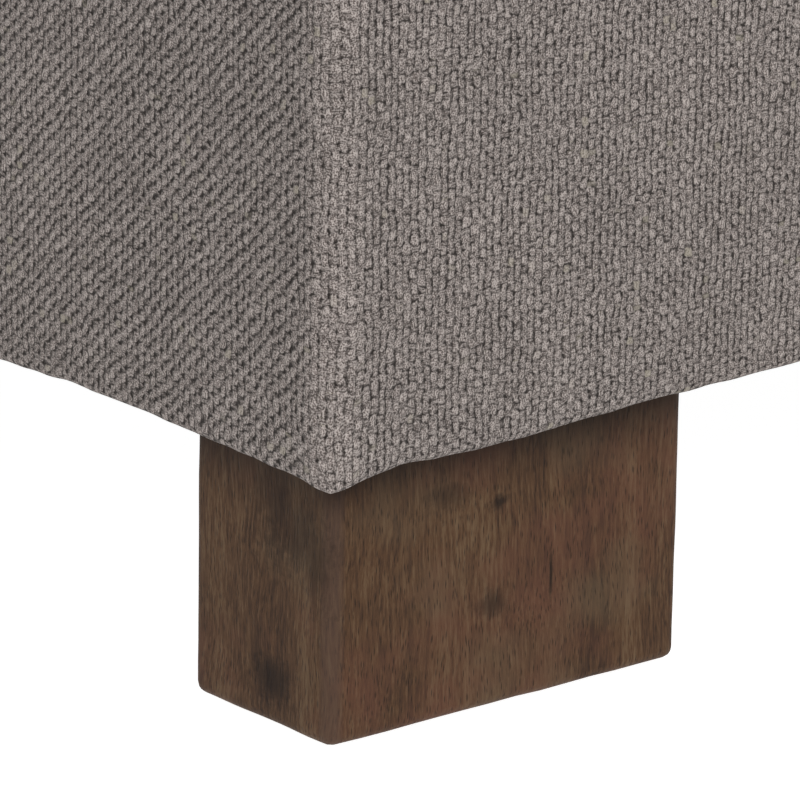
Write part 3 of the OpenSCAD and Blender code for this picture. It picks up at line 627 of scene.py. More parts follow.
@dataclass(frozen=True)
class Studio:
    """A pale floor, soft lights and the camera, set by the near corner of the box."""

    camera_at: tuple[float, float, float] = (-1.2581, -1.1522, 0.4244)
    azimuth: float = -39.931
    elevation: float = 16.095
    roll: float = 0.922
    lens: float = 228.8

    def build(self) -> None:
        """Adds the camera, the floor and the lights."""
        self._camera()
        self._floor()
        self._lights()

    def _camera(self) -> None:
        """Adds a long-lens camera that looks down at the near lower corner."""
        data = bpy.data.cameras.new("camera")
        data.lens = self.lens
        data.clip_end = 100.0
        camera = bpy.data.objects.new("camera", data)
        bpy.context.scene.collection.objects.link(camera)
        turn, tilt, roll = (math.radians(a) for a in (self.azimuth, self.elevation, self.roll))
        forward = Vector((-math.sin(turn) * math.cos(tilt), math.cos(turn) * math.cos(tilt), -math.sin(tilt)))
        right = forward.cross(Vector((0, 0, 1))).normalized()
        up = right.cross(forward)
        level = Matrix((right, up, -forward)).transposed().to_4x4()
        camera.matrix_world = (Matrix.Translation(self.camera_at) @ level
                               @ Matrix.Rotation(roll, 4, "Z"))
        bpy.context.scene.camera = camera

    def _floor(self) -> None:
        """Adds a large pale floor."""
        half = 40.0
        floor = mesh_object("floor", np.array([(-half, -half, 0), (half, -half, 0), (half, half, 0), (-half, half, 0)]),
                            [(0, 1, 2, 3)])
        material, t = new_material("studio_floor")
        shader = add(t, "ShaderNodeBsdfPrincipled", {
            "Base Color": linear("#B8B8B8"), "Roughness": 0.9, "Specular IOR Level": 0.1,
            "Emission Color": linear("#FFFFFF"), "Emission Strength": 0.965})
        finish_material(t, shader)
        dress(floor, material)

    def _lights(self) -> None:
        """Adds an even white surround and a large soft key light from the front left."""
        scene = bpy.context.scene
        scene.view_settings.view_transform = "Standard"
        world = bpy.data.worlds.new("surround")
        world.use_nodes = True
        # It lights at half the strength that it is seen at, so that it meets the floor without a line.
        path = add(world.node_tree, "ShaderNodeLightPath")
        strength = add(world.node_tree, "ShaderNodeMapRange", {0: path.outputs["Is Camera Ray"], 3: 0.5, 4: 1.0})
        shine = add(world.node_tree, "ShaderNodeBackground", {"Color": linear("#FFFFFF"), "Strength": strength})
        world.node_tree.links.new(shine.outputs[0], world.node_tree.nodes["World Output"].inputs[0])
        scene.world = world
        for name, spot, size, power in (("key", (-2.0, -3.3, 3.0), 2.0, 110.0), ("fill", (3.4, -2.4, 2.4), 2.6, 12.0)):
            data = bpy.data.lights.new(name, "AREA")
            data.size = size
            data.energy = power
            light = bpy.data.objects.new(name, data)
            bpy.context.scene.collection.objects.link(light)
            aim = Vector((-0.3, 0.0, 0.2)) - Vector(spot)
            light.matrix_world = Matrix.Translation(spot) @ aim.to_track_quat("-Z", "Y").to_matrix().to_4x4()


# ---------------------------------------------------------------- upholstery of the box


@dataclass
class BoxUpholstery:
    """The cloth over the box: from inside the rim, over the top, down the sides and round a soft roll at the bottom."""

    corner: float = 9 * MM
    roll_low: float = 71.5 * MM
    roll_deep: float = 5.5 * MM
    under_z: float = 78.1 * MM
    under_in: float = 34 * MM
    rim_in: float = 24 * MM
    rim_down: float = 31.5 * MM
    top_round: float = 6 * MM
    thick: float = 1.5 * MM
    hem_left: tuple[tuple[float, float], ...] = (
        (0.0, -4.1), (9.6, -2.1), (30.0, -1.1), (52.0, -0.5), (77.0, 0.4), (104.0, 0.7), (137.0, -0.5), (200.0, 0.0))
    hem_front: tuple[tuple[float, float], ...] = (
        (0.0, -4.1), (4.4, -3.1), (9.0, -1.9), (15.0, -0.8), (21.6, 0.2), (31.0, -0.1), (46.0, -0.4), (71.0, 0.5),
        (97.0, 2.2), (135.0, 3.1), (160.0, 4.0), (200.0, 2.6), (250.0, 0.0))
    fine_step: float = 1.6 * MM
    coarse_step: float = 9 * MM
    near_left: float = 190 * MM
    near_front: float = 240 * MM

    def __post_init__(self) -> None:
        """Takes the outer size from the frame."""
        _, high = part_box("body_cover")
        self.half_w = high.x
        self.half_d = high.y
        self.top = high.z

    def _arc(self, centre: tuple[float, float], radius: float, start: float, end: float, count: int) -> list:
        """Lists points along a round stretch of the profile.

        Args:
            centre: the arc's centre, inwards and up.
            radius: the arc's radius.
            start: the first angle in degrees.
            end: the last angle.
            count: the number of points.

        Returns:
            The points, as pairs of inwards and up.
        """
        return [(centre[0] + radius * math.cos(math.radians(a)), centre[1] + radius * math.sin(math.radians(a)))
                for a in np.linspace(start, end, count)]

    def profile(self) -> tuple[np.ndarray, np.ndarray]:
        """Draws the cloth's cross section.

        Returns:
            The outer points as rows of inwards and up, from inside the rim to under the frame, and the hidden points.
        """
        r, e, lip = 2.2 * MM, self.top_round, self.roll_deep / 2
        points = [(self.rim_in, self.top - self.rim_down)]
        points += [(self.rim_in, z) for z in np.linspace(self.top - 24 * MM, self.top - r, 4)]
        points += self._arc((self.rim_in - r, self.top - r), r, 0, 90, 6)[1:]
        points += [(n, self.top) for n in np.linspace(self.rim_in - r, e, 6)[1:]]
        points += self._arc((e, self.top - e), e, 90, 180, 8)[1:]
        side_low = self.roll_low + 9 * MM
        points += [(0.0, z) for z in np.linspace(self.top - e, side_low, 24)[1:]]
        points += [(0.0, z) for z in np.linspace(side_low, self.roll_low + lip, 7)[1:]]
        points += self._arc((lip, self.roll_low + lip), lip, 180, 360, 15)[1:]
        points += [(self.roll_deep, self.under_z - 1.7 * MM)]
        points += self._arc((self.roll_deep + 1.7 * MM, self.under_z - 1.7 * MM), 1.7 * MM, 180, 90, 4)[1:]
        points += [(n, self.under_z) for n in np.linspace(self.roll_deep + 3 * MM, self.under_in, 4)]
        outer = np.array(points)
        step = np.gradient(outer, axis=0)
        step /= np.linalg.norm(step, axis=1)[:, None]
        # Walking down the outside, the wall is on the left of the way.
        hidden = outer + self.thick * np.stack([-step[:, 1], step[:, 0]], axis=1)
        return outer, hidden

    def stations(self) -> list[tuple[float, str, float]]:
        """Spaces the sections round the box, close together at the near corner.

        Returns:
            How far round each station is, anticlockwise from the middle of the back, its side or corner, and how far
            along that it is, from 0 to 1.
        """
        long, short, turn = 2 * (self.half_w - self.corner), 2 * (self.half_d - self.corner), self.corner * math.pi / 2
        spans = [("back_b", long / 2), ("c_bl", turn), ("left", short), ("c_fl", turn), ("front", long),
                 ("c_fr", turn), ("right", short), ("c_br", turn), ("back_a", long / 2)]
        places, at = [], 0.0
        for name, length in spans:
            if name == "c_fl":
                inside = np.linspace(0, length, 24, endpoint=False)
            elif name.startswith("c_"):
                inside = np.linspace(0, length, 12, endpoint=False)
            elif name == "left":
                rough = np.linspace(0, length - self.near_left, 36, endpoint=False)
                inside = np.append(rough, np.arange(length - self.near_left, length, self.fine_step))
            elif name == "front":
                near = np.arange(0, self.near_front, self.fine_step)
                inside = np.append(near, np.linspace(self.near_front, length, 84, endpoint=False))
            else:
                inside = np.linspace(0, length, max(2, round(length / self.coarse_step)), endpoint=False)
            places += [(at + s, name, s / length) for s in inside]
            at += length
        return places

    def _plan(self, name: str, share: float, inwards: np.ndarray) -> np.ndarray:
        """Places the points of one section in plan.

        Args:
            name: the side or corner.
            share: how far along it, from 0 to 1.
            inwards: how far each point lies inside the outer face.

        Returns:
            Rows of x and y.
        """
        w, d, r = self.half_w, self.half_d, self.corner
        small = np.maximum(r - inwards, 1.2 * MM)
        centre = inwards + small
        corners = {"c_bl": (-1, 1, 90), "c_fl": (-1, -1, 180), "c_fr": (1, -1, 270), "c_br": (1, 1, 0)}
        if name in corners:
            sx, sy, start = corners[name]
            angle = math.radians(start + 90 * share)
            return np.stack([sx * (w - centre) + small * math.cos(angle),
                             sy * (d - centre) + small * math.sin(angle)], axis=1)
        ends = {"back_b": ((0, 1), (-1, 1)), "left": ((-1, 1), (-1, -1)), "front": ((-1, -1), (1, -1)),
                "right": ((1, -1), (1, 1)), "back_a": ((1, 1), (0, 1))}[name]
        out = {"back_b": (0, 1), "left": (-1, 0), "front": (0, -1), "right": (1, 0), "back_a": (0, 1)}[name]
        a, b = (np.stack([e[0] * (w - centre), e[1] * (d - centre)], axis=1) for e in ends)
        middle = a + (b - a) * share
        return middle + small[:, None] * np.array(out)

    def build(self, cloth: bpy.types.Material) -> bpy.types.Object:
        """Sweeps the section round the box, and lets the hem dip and rise.

        Args:
            cloth: the upholstery cloth.

        Returns:
            The cover.
        """
        outer, hidden = self.profile()
        places = self.stations()
        length = np.concatenate([[0], np.cumsum(np.linalg.norm(np.diff(outer, axis=0), axis=1))])
        corner_at = [at for at, name, share in places if name.startswith("c_") and share == 0.0]
        half_turn = self.corner * math.pi / 4
        total = places[-1][0] + self.coarse_step
        rows, us = [], []
        for at, name, share in places:
            ring = np.concatenate([outer, hidden[::-1]])
            plan = self._plan(name, share, ring[:, 0])
            z = ring[:, 1].copy()
            low = np.clip((self.roll_low + 34 * MM - z) / (34 * MM), 0, 1)
            low *= np.clip(1 - (ring[:, 0] - self.roll_deep) / (3 * MM), 0, 1)
            gaps = [(at - c - half_turn + total / 2) % total - total / 2 for c in corner_at]
            away = min(gaps, key=abs)
            table = self.hem_front if away > 0 else self.hem_left
            lift = np.interp(abs(away) / MM, [row[0] for row in table], [row[1] for row in table]) * MM
            wave = 0.3 * MM * noise.noise((plan[0, 0] * 160, plan[0, 1] * 160, 7.7))
            z += low ** 2 * (lift + wave)
            rows.append(np.column_stack([plan, z]))
            us.append(at)
        points = np.concatenate(rows)
        count = len(outer) + len(hidden)
        faces = []
        n = len(rows)
        for k in range(n):
            a, b = k * count, ((k + 1) % n) * count
            faces += [(a + j, a + (j + 1) % count, b + (j + 1) % count, b + j) for j in range(count)]
        piece = mesh_object("box_upholstery", points, faces)
        self._lay_cloth(piece, np.array(us), length, count, total)
        dress(piece, cloth)
        return piece

    def _lay_cloth(self, piece: bpy.types.Object, us: np.ndarray, length: np.ndarray, count: int,
                   total: float) -> None:
        """Lays the cloth's threads on the cover: u round the box and v up it, in metres.

        Args:
            piece: the cover.
            us: how far round each station is.
            length: the way along the section at each outer point.
            count: the number of points in a section.
            total: the way round the box.
        """
        vs = np.concatenate([length, length[::-1]])
        layer = piece.data.uv_layers.new(name=CLOTH_UV)
        n = len(us)
        flat = np.empty((len(piece.data.loops), 2), np.float32)
        k = 0
        for s in range(n):
            u0, u1 = us[s], us[s + 1] if s + 1 < n else total
            for j in range(count):
                v0, v1 = -vs[j], -vs[(j + 1) % count]
                flat[k:k + 4] = [(u0, v0), (u0, v1), (u1, v1), (u1, v0)]
                k += 4
        layer.data.foreach_set("uv", flat.ravel())


# ---------------------------------------------------------------- feet


@dataclass
class BlockFoot:
    """A solid block foot with hand-eased edges."""

    name: str
    bevel: float = 3 * MM

    def build(self, wood: bpy.types.Material) -> bpy.types.Object:
        """Cuts the block to the frame's size and eases its edges a little unevenly.

        Args:
            wood: the stained wood.

        Returns:
            The foot.
        """
        low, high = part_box(self.name)
        mesh = bmesh.new()
        bmesh.ops.create_cube(mesh, size=1.0)
        size, middle = high - low, (high + low) / 2
        bmesh.ops.transform(mesh, verts=mesh.verts, matrix=Matrix.Translation(middle)
                            @ Matrix.Diagonal((*size, 1.0)))
        bmesh.ops.bevel(mesh, geom=mesh.edges[:], offset=self.bevel, segments=4, profile=0.5, affect="EDGES")
        bmesh.ops.subdivide_edges(mesh, edges=[e for e in mesh.edges if e.calc_length() > 8 * MM], cuts=12,
                                  use_grid_fill=True)
        for v in mesh.verts:
            v.co += 0.22 * MM * noise.noise_vector(v.co * 90)
        data = bpy.data.meshes.new(self.name + "_block")
        mesh.to_mesh(data)
        mesh.free()
        piece = bpy.data.objects.new(self.name + "_block", data)
        bpy.context.scene.collection.objects.link(piece)
        data.polygons.foreach_set("use_smooth", [True] * len(data.polygons))
        return dress(piece, wood)


# ---------------------------------------------------------------- lid


@dataclass
class LidUpholstery:
    """The lid's cloth over its foam and wadding: a simulated cushion, flat underneath, with a sewn boxed edge."""

    voxel: float = 8 * MM
    crown: float = 7 * MM
    side_bulge: float = 1.0 * MM
    ease: float = 0.5 * MM
    seam_down: float = 16 * MM
    seam_deep: float = 1.1 * MM

    def build(self, cloth: bpy.types.Material) -> bpy.types.Object:
        """Blows up a closed copy of the lid's shape, limits it, and draws its seam in.

        Args:
            cloth: the upholstery cloth.

        Returns:
            The cushion.
        """
        low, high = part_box("lid_cover")
        piece = self._block(low, high)
        rest = self._points(piece)
        normals = np.array([v.normal for v in piece.data.vertices])
        self._inflate(piece, low)
        self._shape(piece, rest, normals, low, high)
        self._lay_cloth(piece)
        return dress(piece, cloth)

    def _block(self, low: Vector, high: Vector) -> bpy.types.Object:
        """Makes the lid's closed shape in even quads.

        Args:
            low: the lower corner of its box.
            high: the upper corner.

        Returns:
            The shape.
        """
        mesh = bmesh.new()
        bmesh.ops.create_cube(mesh, size=1.0)
        grown = Vector((2 * self.ease, 2 * self.ease, 0))
        bmesh.ops.transform(mesh, verts=mesh.verts, matrix=Matrix.Translation((low + high) / 2)
                            @ Matrix.Diagonal((*(high - low + grown), 1.0)))
        upright = [e for e in mesh.edges if abs(e.verts[0].co.z - e.verts[1].co.z) > 10 * MM]
        bmesh.ops.bevel(mesh, geom=upright, offset=10 * MM, segments=5, profile=0.5, affect="EDGES")
        rim = [e for e in mesh.edges if min(v.co.z for v in e.verts) > high.z - 1 * MM]
        bmesh.ops.bevel(mesh, geom=rim, offset=8 * MM, segments=5, profile=0.5, affect="EDGES")
        data = bpy.data.meshes.new("lid_upholstery")
        mesh.to_mesh(data)
        mesh.free()
        piece = bpy.data.objects.new("lid_upholstery", data)
        bpy.context.scene.collection.objects.link(piece)
        remesh = piece.modifiers.new("even", "REMESH")
        remesh.mode = "VOXEL"
        remesh.voxel_size = self.voxel
        self._apply(piece)
        return piece

    def _apply(self, piece: bpy.types.Object) -> None:
        """Turns a piece's modifiers into its mesh.

        Args:
            piece: the piece.
        """
        graph = bpy.context.evaluated_depsgraph_get()
        made = bpy.data.meshes.new_from_object(piece.evaluated_get(graph))
        piece.modifiers.clear()
        piece.data = made

    def _inflate(self, piece: bpy.types.Object, low: Vector) -> None:
        """Simulates the cloth under the pressure of its filling, with the underside held.

        Args:
            piece: the closed shape.
            low: the lower corner of its box.
        """
        held = piece.vertex_groups.new(name="held")
        held.add([v.index for v in piece.data.vertices if v.co.z < low.z + 3 * MM], 1.0, "REPLACE")
        sim = piece.modifiers.new("cloth", "CLOTH")
        sim.settings.use_pressure = True
        sim.settings.uniform_pressure_force = 4.0
        sim.settings.effector_weights.gravity = 0.0
        sim.settings.vertex_group_mass = "held"
        sim.settings.quality = 5
        sim.point_cache.frame_start = 1
        sim.point_cache.frame_end = 20
        scene = bpy.context.scene
        for number in range(1, 21):
            scene.frame_set(number)
        self._apply(piece)
        scene.frame_set(1)

    def _points(self, piece: bpy.types.Object) -> np.ndarray:
        """Reads a mesh's points.

        Args:
            piece: the piece.

        Returns:
            One row for each point.
        """
        points = np.empty(len(piece.data.vertices) * 3)
        piece.data.vertices.foreach_get("co", points)
        return points.reshape(-1, 3)

    def _shape(self, piece: bpy.types.Object, rest: np.ndarray, normals: np.ndarray, low: Vector,
               high: Vector) -> None:
        """Keeps the swelling within its limits, and draws the seam in.

        Args:
            piece: the cushion.
            rest: its points before it swelled.
            normals: its outward directions before it swelled.
            low: the lower corner of the lid's box.
            high: the upper corner.
        """
        swollen = ((self._points(piece) - rest) * normals).sum(axis=1)
        across = np.clip(1 - (rest[:, 0] / high.x) ** 4, 0, 1) * np.clip(1 - (rest[:, 1] / high.y) ** 4, 0, 1)
        limit = np.where(rest[:, 2] > high.z - 4 * MM, self.crown * across, self.side_bulge)
        limit[rest[:, 2] < low.z + 3 * MM] = 0.0
        points = rest + normals * np.clip(swollen, 0, limit)[:, None]
        inset = np.minimum(high.x - abs(points[:, 0]), high.y - abs(points[:, 1]))
        upper = np.clip((points[:, 2] - high.z + 20 * MM) / (20 * MM), 0, 1)
        uneven = np.array([noise.noise(Vector(p) * 9) for p in points])
        points[:, 2] += upper * 1.2 * MM * uneven
        groove = np.exp(-((points[:, 2] - (high.z - self.seam_down)) / (3.2 * MM)) ** 2)
        near = np.clip(1 - inset / (10 * MM), 0, 1)
        points[:, :2] -= normals[:, :2] * (groove * near * self.seam_deep)[:, None]
        piece.data.vertices.foreach_set("co", points.ravel())
        piece.data.update()
        smooth = piece.modifiers.new("finer", "SUBSURF")
        smooth.levels = smooth.render_levels = 1
        self._apply(piece)
        self._square_under(piece, low, high)
        piece.data.polygons.foreach_set("use_smooth", [True] * len(piece.data.polygons))

    def _square_under(self, piece: bpy.types.Object, low: Vector, high: Vector) -> None:
        """Pulls the cloth square over the lower edge, where it is drawn tight and turned under.

        Args:
            piece: the cushion.
            low: the lower corner of the lid's box.
            high: the upper corner.
        """
        points = self._points(piece)
        radius = 10 * MM
        half = np.array([high.x + self.ease, high.y + self.ease])
        past = abs(points[:, :2]) - (half - radius)
        corner = np.clip(past, 0, None)
        reach = np.linalg.norm(corner, axis=1)
        away = reach + np.minimum(past.max(axis=1), 0) - radius
        way = np.where(reach[:, None] > 1e-6, corner / np.maximum(reach, 1e-6)[:, None], 0.0)
        near = (points[:, 2] < low.z + 9 * MM) & (away > -6 * MM) & (away < 0)
        points[near, :2] -= (np.sign(points[:, :2]) * way * away[:, None])[near]
        points[points[:, 2] < low.z + 4.5 * MM, 2] = low.z
        piece.data.vertices.foreach_set("co", points.ravel())
        piece.data.update()

    def _lay_cloth(self, piece: bpy.types.Object) -> None:
        """Lays the threads on the top and the sides, in metres.

        Args:
            piece: the cushion.
        """
        data = piece.data
        layer = data.uv_layers.new(name=CLOTH_UV)
        flat = np.empty((len(data.loops), 2), np.float32)
        for face in data.polygons:
            n = face.normal
            side = max(range(3), key=lambda k: abs(n[k]))
            for k in face.loop_indices:
                x, y, z = data.vertices[data.loops[k].vertex_index].co
                flat[k] = ((y, z), (x, z), (x, y))[side]
        layer.data.foreach_set("uv", flat.ravel())

    def seam_path(self) -> np.ndarray:
        """Lists the boxed seam's stitches round the lid.

        Returns:
            Rows of a point, its outward direction and the way along.
        """
        _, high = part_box("lid_cover")
        radius, z = 10 * MM, high.z - self.seam_down - 3.4 * MM
        w, d = high.x + 0.3 * MM, high.y + 0.3 * MM
        corners = [(1, -1, -90), (1, 1, 0), (-1, 1, 90), (-1, -1, 180)]
        line = []
        for sx, sy, start in corners:
            for a in np.linspace(start, start + 90, 10):
                turn = math.radians(a)
                line.append((sx * (w - radius) + radius * math.cos(turn),
                             sy * (d - radius) + radius * math.sin(turn), z))
        line.append(line[0])
        return np.array(line)


# ---------------------------------------------------------------- linings


@dataclass
class ThinSheet:
    """A thin cloth or lined card whose outline is given in plan, with a little slackness."""

    name: str
    outline: Sequence[tuple[float, float]]
    low: float
    thick: float
    slack: float = 0.4 * MM
    cell: float = 14 * MM

    def build(self, cloth: bpy.types.Material) -> bpy.types.Object:
        """Fills the outline with a fine grid, gives it thickness and makes it slightly uneven.

        Args:
            cloth: the sheet's material.

        Returns:
            The sheet.
        """
        mesh = bmesh.new()
        ring = [mesh.verts.new((x, y, self.low + self.thick)) for x, y in self.outline]
        mesh.faces.new(ring)
        xs = [p[0] for p in self.outline]
        ys = [p[1] for p in self.outline]
        for axis, values in ((0, xs), (1, ys)):
            for place in np.arange(min(values) + self.cell, max(values) - self.cell / 2, self.cell):
                spot, normal = [0.0, 0.0, 0.0], [0.0, 0.0, 0.0]
                spot[axis], normal[axis] = float(place), 1.0
                bmesh.ops.bisect_plane(mesh, geom=mesh.verts[:] + mesh.edges[:] + mesh.faces[:],
                                       plane_co=spot, plane_no=normal)
        half = max(xs), max(ys)
        for v in mesh.verts:
            edge = min(half[0] - abs(v.co.x), half[1] - abs(v.co.y))
            v.co.z += self.slack * noise.noise(v.co * 11) * min(1.0, max(0.0, edge / (30 * MM)))
        bmesh.ops.solidify(mesh, geom=mesh.faces[:], thickness=self.thick)
        bmesh.ops.recalc_face_normals(mesh, faces=mesh.faces[:])
        data = bpy.data.meshes.new(self.name)
        mesh.to_mesh(data)
        mesh.free()
        piece = bpy.data.objects.new(self.name, data)
        bpy.context.scene.collection.objects.link(piece)
        data.polygons.foreach_set("use_smooth", [True] * len(data.polygons))
        return dress(piece, cloth)


@dataclass
class WellLining:
    """The lined card that stands round the inside of the storage well."""

    corner_cut: float = 22.3 * MM
    thick: float = 1.5 * MM
    slack: float = 0.5 * MM
    rows: int = 18

    def plan(self, inwards: float = 0.0) -> list[tuple[float, float]]:
        """Draws the well's outline, with its corners cut across the glue blocks.

        Args:
            inwards: how far inside the lining's outer face.

        Returns:
            Eight corners, anticlockwise.
        """
        _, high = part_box("well_lining")
        w, d = high.x - inwards, high.y - inwards
        cut = self.corner_cut - inwards * (2 - math.sqrt(2))
        return [(w - cut, -d), (w, -d + cut), (w, d - cut), (w - cut, d),
                (-w + cut, d), (-w, d - cut), (-w, -d + cut), (-w + cut, -d)]

    def build(self, cloth: bpy.types.Material) -> bpy.types.Object:
        """Stands the lining up and lets it belly slightly between its edges.

        Args:
            cloth: the lining cloth.

        Returns:
            The lining.
        """
        low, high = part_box("well_lining")
        columns = []
        outer, inner = self.plan(), self.plan(self.thick)
        for k in range(8):
            a, b = (np.array(outer[k]), np.array(outer[(k + 1) % 8]))
            c, d = (np.array(inner[k]), np.array(inner[(k + 1) % 8]))
            count = max(2, round(float(np.linalg.norm(b - a)) / (15 * MM)))
            columns += [(a + (b - a) * s, c + (d - c) * s) for s in np.arange(count) / count]
        n = len(columns)
        points = []
        for z in np.linspace(low.z, high.z, self.rows):
            for outside, inside in columns:
                points.append((*outside, z))
            for outside, inside in columns:
                rise = math.sin(math.pi * (z - low.z) / (high.z - low.z))
                inward = inside - outside
                inward /= np.linalg.norm(inward)
                belly = self.slack * rise * (0.5 + 0.5 * noise.noise((inside[0] * 6, inside[1] * 6, z * 6)))
                points.append((*(inside + inward * belly), z))
        faces = []
        for r in range(self.rows - 1):
            for k in range(n):
                a, b = r * 2 * n + k, r * 2 * n + (k + 1) % n
                up = 2 * n
                faces.append((a, b, b + up, a + up))
                faces.append((b + n, a + n, a + n + up, b + n + up))
        top = (self.rows - 1) * 2 * n
        for k in range(n):
            j = (k + 1) % n
            faces.append((top + k, top + j, top + n + j, top + n + k))
            faces.append((j, k, n + k, n + j))
        return dress(mesh_object("well_lining_cloth", np.array(points), faces), cloth)


# ---------------------------------------------------------------- screws, staples and stitches


@dataclass
class Repeats:
    """The same small piece set at many places by a Geometry Nodes tree."""

    name: str
    places: Sequence[tuple[Vector, Vector, Vector]]

    def build(self, unit: bpy.types.Object, material: bpy.types.Material, size: float = 1.0) -> bpy.types.Object:
        """Instances the unit at each place, turned to its normal and its way along.

        Args:
            unit: the piece to repeat, drawn round the origin with its head up +Z and its length along +X.
            material: the finish of every copy.
            size: the scale of the copies.

        Returns:
            One plain mesh with every copy in it.
        """
        holder = mesh_object(self.name, np.array([tuple(p[0]) for p in self.places]), [])
        turns = []
        for _, normal, along in self.places:
            z = normal.normalized()
            x = (along - along.dot(z) * z).normalized()
            turns += list(Matrix((x, z.cross(x), z)).transposed().to_euler())
        turned = holder.data.attributes.new("turn", "FLOAT_VECTOR", "POINT")
        turned.data.foreach_set("vector", turns)
        tree = bpy.data.node_groups.new(self.name + "_nodes", "GeometryNodeTree")
        tree.interface.new_socket("Places", in_out="INPUT", socket_type="NodeSocketGeometry")
        scale_socket = tree.interface.new_socket("Size", in_out="INPUT", socket_type="NodeSocketFloat")
        tree.interface.new_socket("Copies", in_out="OUTPUT", socket_type="NodeSocketGeometry")
        given = add(tree, "NodeGroupInput")
        shape = add(tree, "GeometryNodeObjectInfo", {"Object": unit})
        turn = add(tree, "GeometryNodeInputNamedAttribute", {"Name": "turn"}, data_type="FLOAT_VECTOR")
        copies = add(tree, "GeometryNodeInstanceOnPoints", {
            "Points": given.outputs["Places"], "Instance": shape.outputs["Geometry"],
            "Rotation": turn, "Scale": given.outputs["Size"]})
        real = add(tree, "GeometryNodeRealizeInstances", [copies])
        dressed = add(tree, "GeometryNodeSetMaterial", {"Geometry": real, "Material": material})
        add(tree, "NodeGroupOutput", [dressed])
        live = holder.modifiers.new("repeat", "NODES")
        live.node_group = tree
        live[scale_socket.identifier] = size
        graph = bpy.context.evaluated_depsgraph_get()
        made = bpy.data.meshes.new_from_object(holder.evaluated_get(graph))
        holder.modifiers.clear()
        holder.data = made
        bpy.data.objects.remove(unit)
        return dress(holder, material)


def screw_unit(radius: float, head: float, length: float) -> bpy.types.Object:
    """Turns a countersunk screw with a cross recess, its head's top at the origin.

    Args:
        radius: the radius of the shank.
        head: the radius of the head.
        length: the whole length.

    Returns:
        The screw.
    """
    around = 32
    deep = [(0.0, -0.9), (0.34, -0.9), (0.42, 0.0), (0.96, 0.0), (1.0, -0.06)]
    profile = [(r * head, z * head) for r, z in deep]
    profile += [(radius, -(head - radius) - 0.06 * head), (radius, -length + radius), (radius * 0.4, -length)]
    points = [(0, 0, profile[0][1])]
    for ring, (r, z) in enumerate(profile[1:]):
        for k in range(around):
            angle = 2 * math.pi * k / around
            share = r
            if ring < 2:
                arm = abs(math.cos(2 * angle)) ** 3
                share = r * (0.45 + 1.15 * arm)
            points.append((share * math.cos(angle), share * math.sin(angle), z))
    points.append((0, 0, -length))
    faces = [(0, 1 + k, 1 + (k + 1) % around) for k in range(around)]
    for r in range(len(profile) - 2):
        a, b = 1 + r * around, 1 + (r + 1) * around
        faces += [(a + k, b + k, b + (k + 1) % around, a + (k + 1) % around) for k in range(around)]
    last = 1 + (len(profile) - 2) * around
    faces += [(last + k, len(points) - 1, last + (k + 1) % around) for k in range(around)]
    return mesh_object("screw_unit", np.array(points), faces, smooth=False)


def bar_unit(name: str, length: float, thick: float, bow: float) -> bpy.types.Object:
    """Bends a short round bar along +X, such as the crown of a staple or one stitch.

    Args:
        name: the unit's name.
        length: the bar's length.
        thick: the bar's diameter.
        bow: how far its middle stands above its ends.

    Returns:
        The bar.
    """
    around, rings = 6, 7
    points, faces = [], []
    for s in np.linspace(-1, 1, rings):
        r = thick / 2 * math.sqrt(max(0.12, 1 - s ** 8))
        for k in range(around):
            angle = 2 * math.pi * k / around
            points.append((s * length / 2, r * math.cos(angle), bow * (1 - s * s) + r * math.sin(angle)))
    for r in range(0, (rings - 1) * around, around):
        faces += [(r + k, r + (k + 1) % around, r + around + (k + 1) % around, r + around + k) for k in range(around)]
    faces += [tuple(reversed(range(around))), tuple(range((rings - 1) * around, rings * around))]
    return mesh_object(name, np.array(points), faces)


def islands(node: str) -> list[tuple[Vector, Vector]]:
    """Finds the boxes of a node's separate solids.

    Args:
        node: the frame's node.

    Returns:
        The lower and upper corner of each solid.
    """
    mesh = bmesh.new()
    mesh.from_mesh(frame["nodes"][node].data)
    bmesh.ops.remove_doubles(mesh, verts=mesh.verts, dist=1e-6)
    found, seen = [], set()
    for start in mesh.verts:
        if start in seen:
            continue
        stack, group = [start], []
        seen.add(start)
        while stack:
            v = stack.pop()
            group.append(v.co.copy())
            for e in v.link_edges:
                other = e.other_vert(v)
                if other not in seen:
                    seen.add(other)
                    stack.append(other)
        found.append((Vector([min(p[k] for p in group) for k in range(3)]),
                      Vector([max(p[k] for p in group) for k in range(3)])))
    mesh.free()
    return found


@dataclass
class Screws:
    """The screws of one node, remade with cross recesses."""

    node: str
    body: str
    slot: str
    axis: Axis
    heads: Callable[[Vector], int]

    def build(self, slots: Mapping[str, bpy.types.Material]) -> bpy.types.Object:
        """Sets a screw at the place of each of the node's solids.

        Args:
            slots: the finishes.

        Returns:
            The screws as one piece.
        """
        places = []
        for low, high in islands(self.node):
            middle = (low + high) / 2
            sign = self.heads(middle)
            top = middle.copy()
            top[self.axis.value] = high[self.axis.value] if sign > 0 else low[self.axis.value]
            normal = Vector((0, 0, 0))
            normal[self.axis.value] = sign
            spin = math.radians(37 * len(places) % 90)
            flat = [k for k in range(3) if k != self.axis.value]
            along = Vector((0, 0, 0))
            along[flat[0]], along[flat[1]] = math.cos(spin), math.sin(spin)
            places.append((top, normal, along))
        size = high - low
        flat = [k for k in range(3) if k != self.axis.value]
        head = max(size[flat[0]], size[flat[1]]) / 2
        unit = screw_unit(head * 0.5, head, size[self.axis.value])
        piece = Repeats(self.node + "_crossed", places).build(unit, slots[self.slot])
        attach(piece, self.body)
        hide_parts(self.node)
        return piece


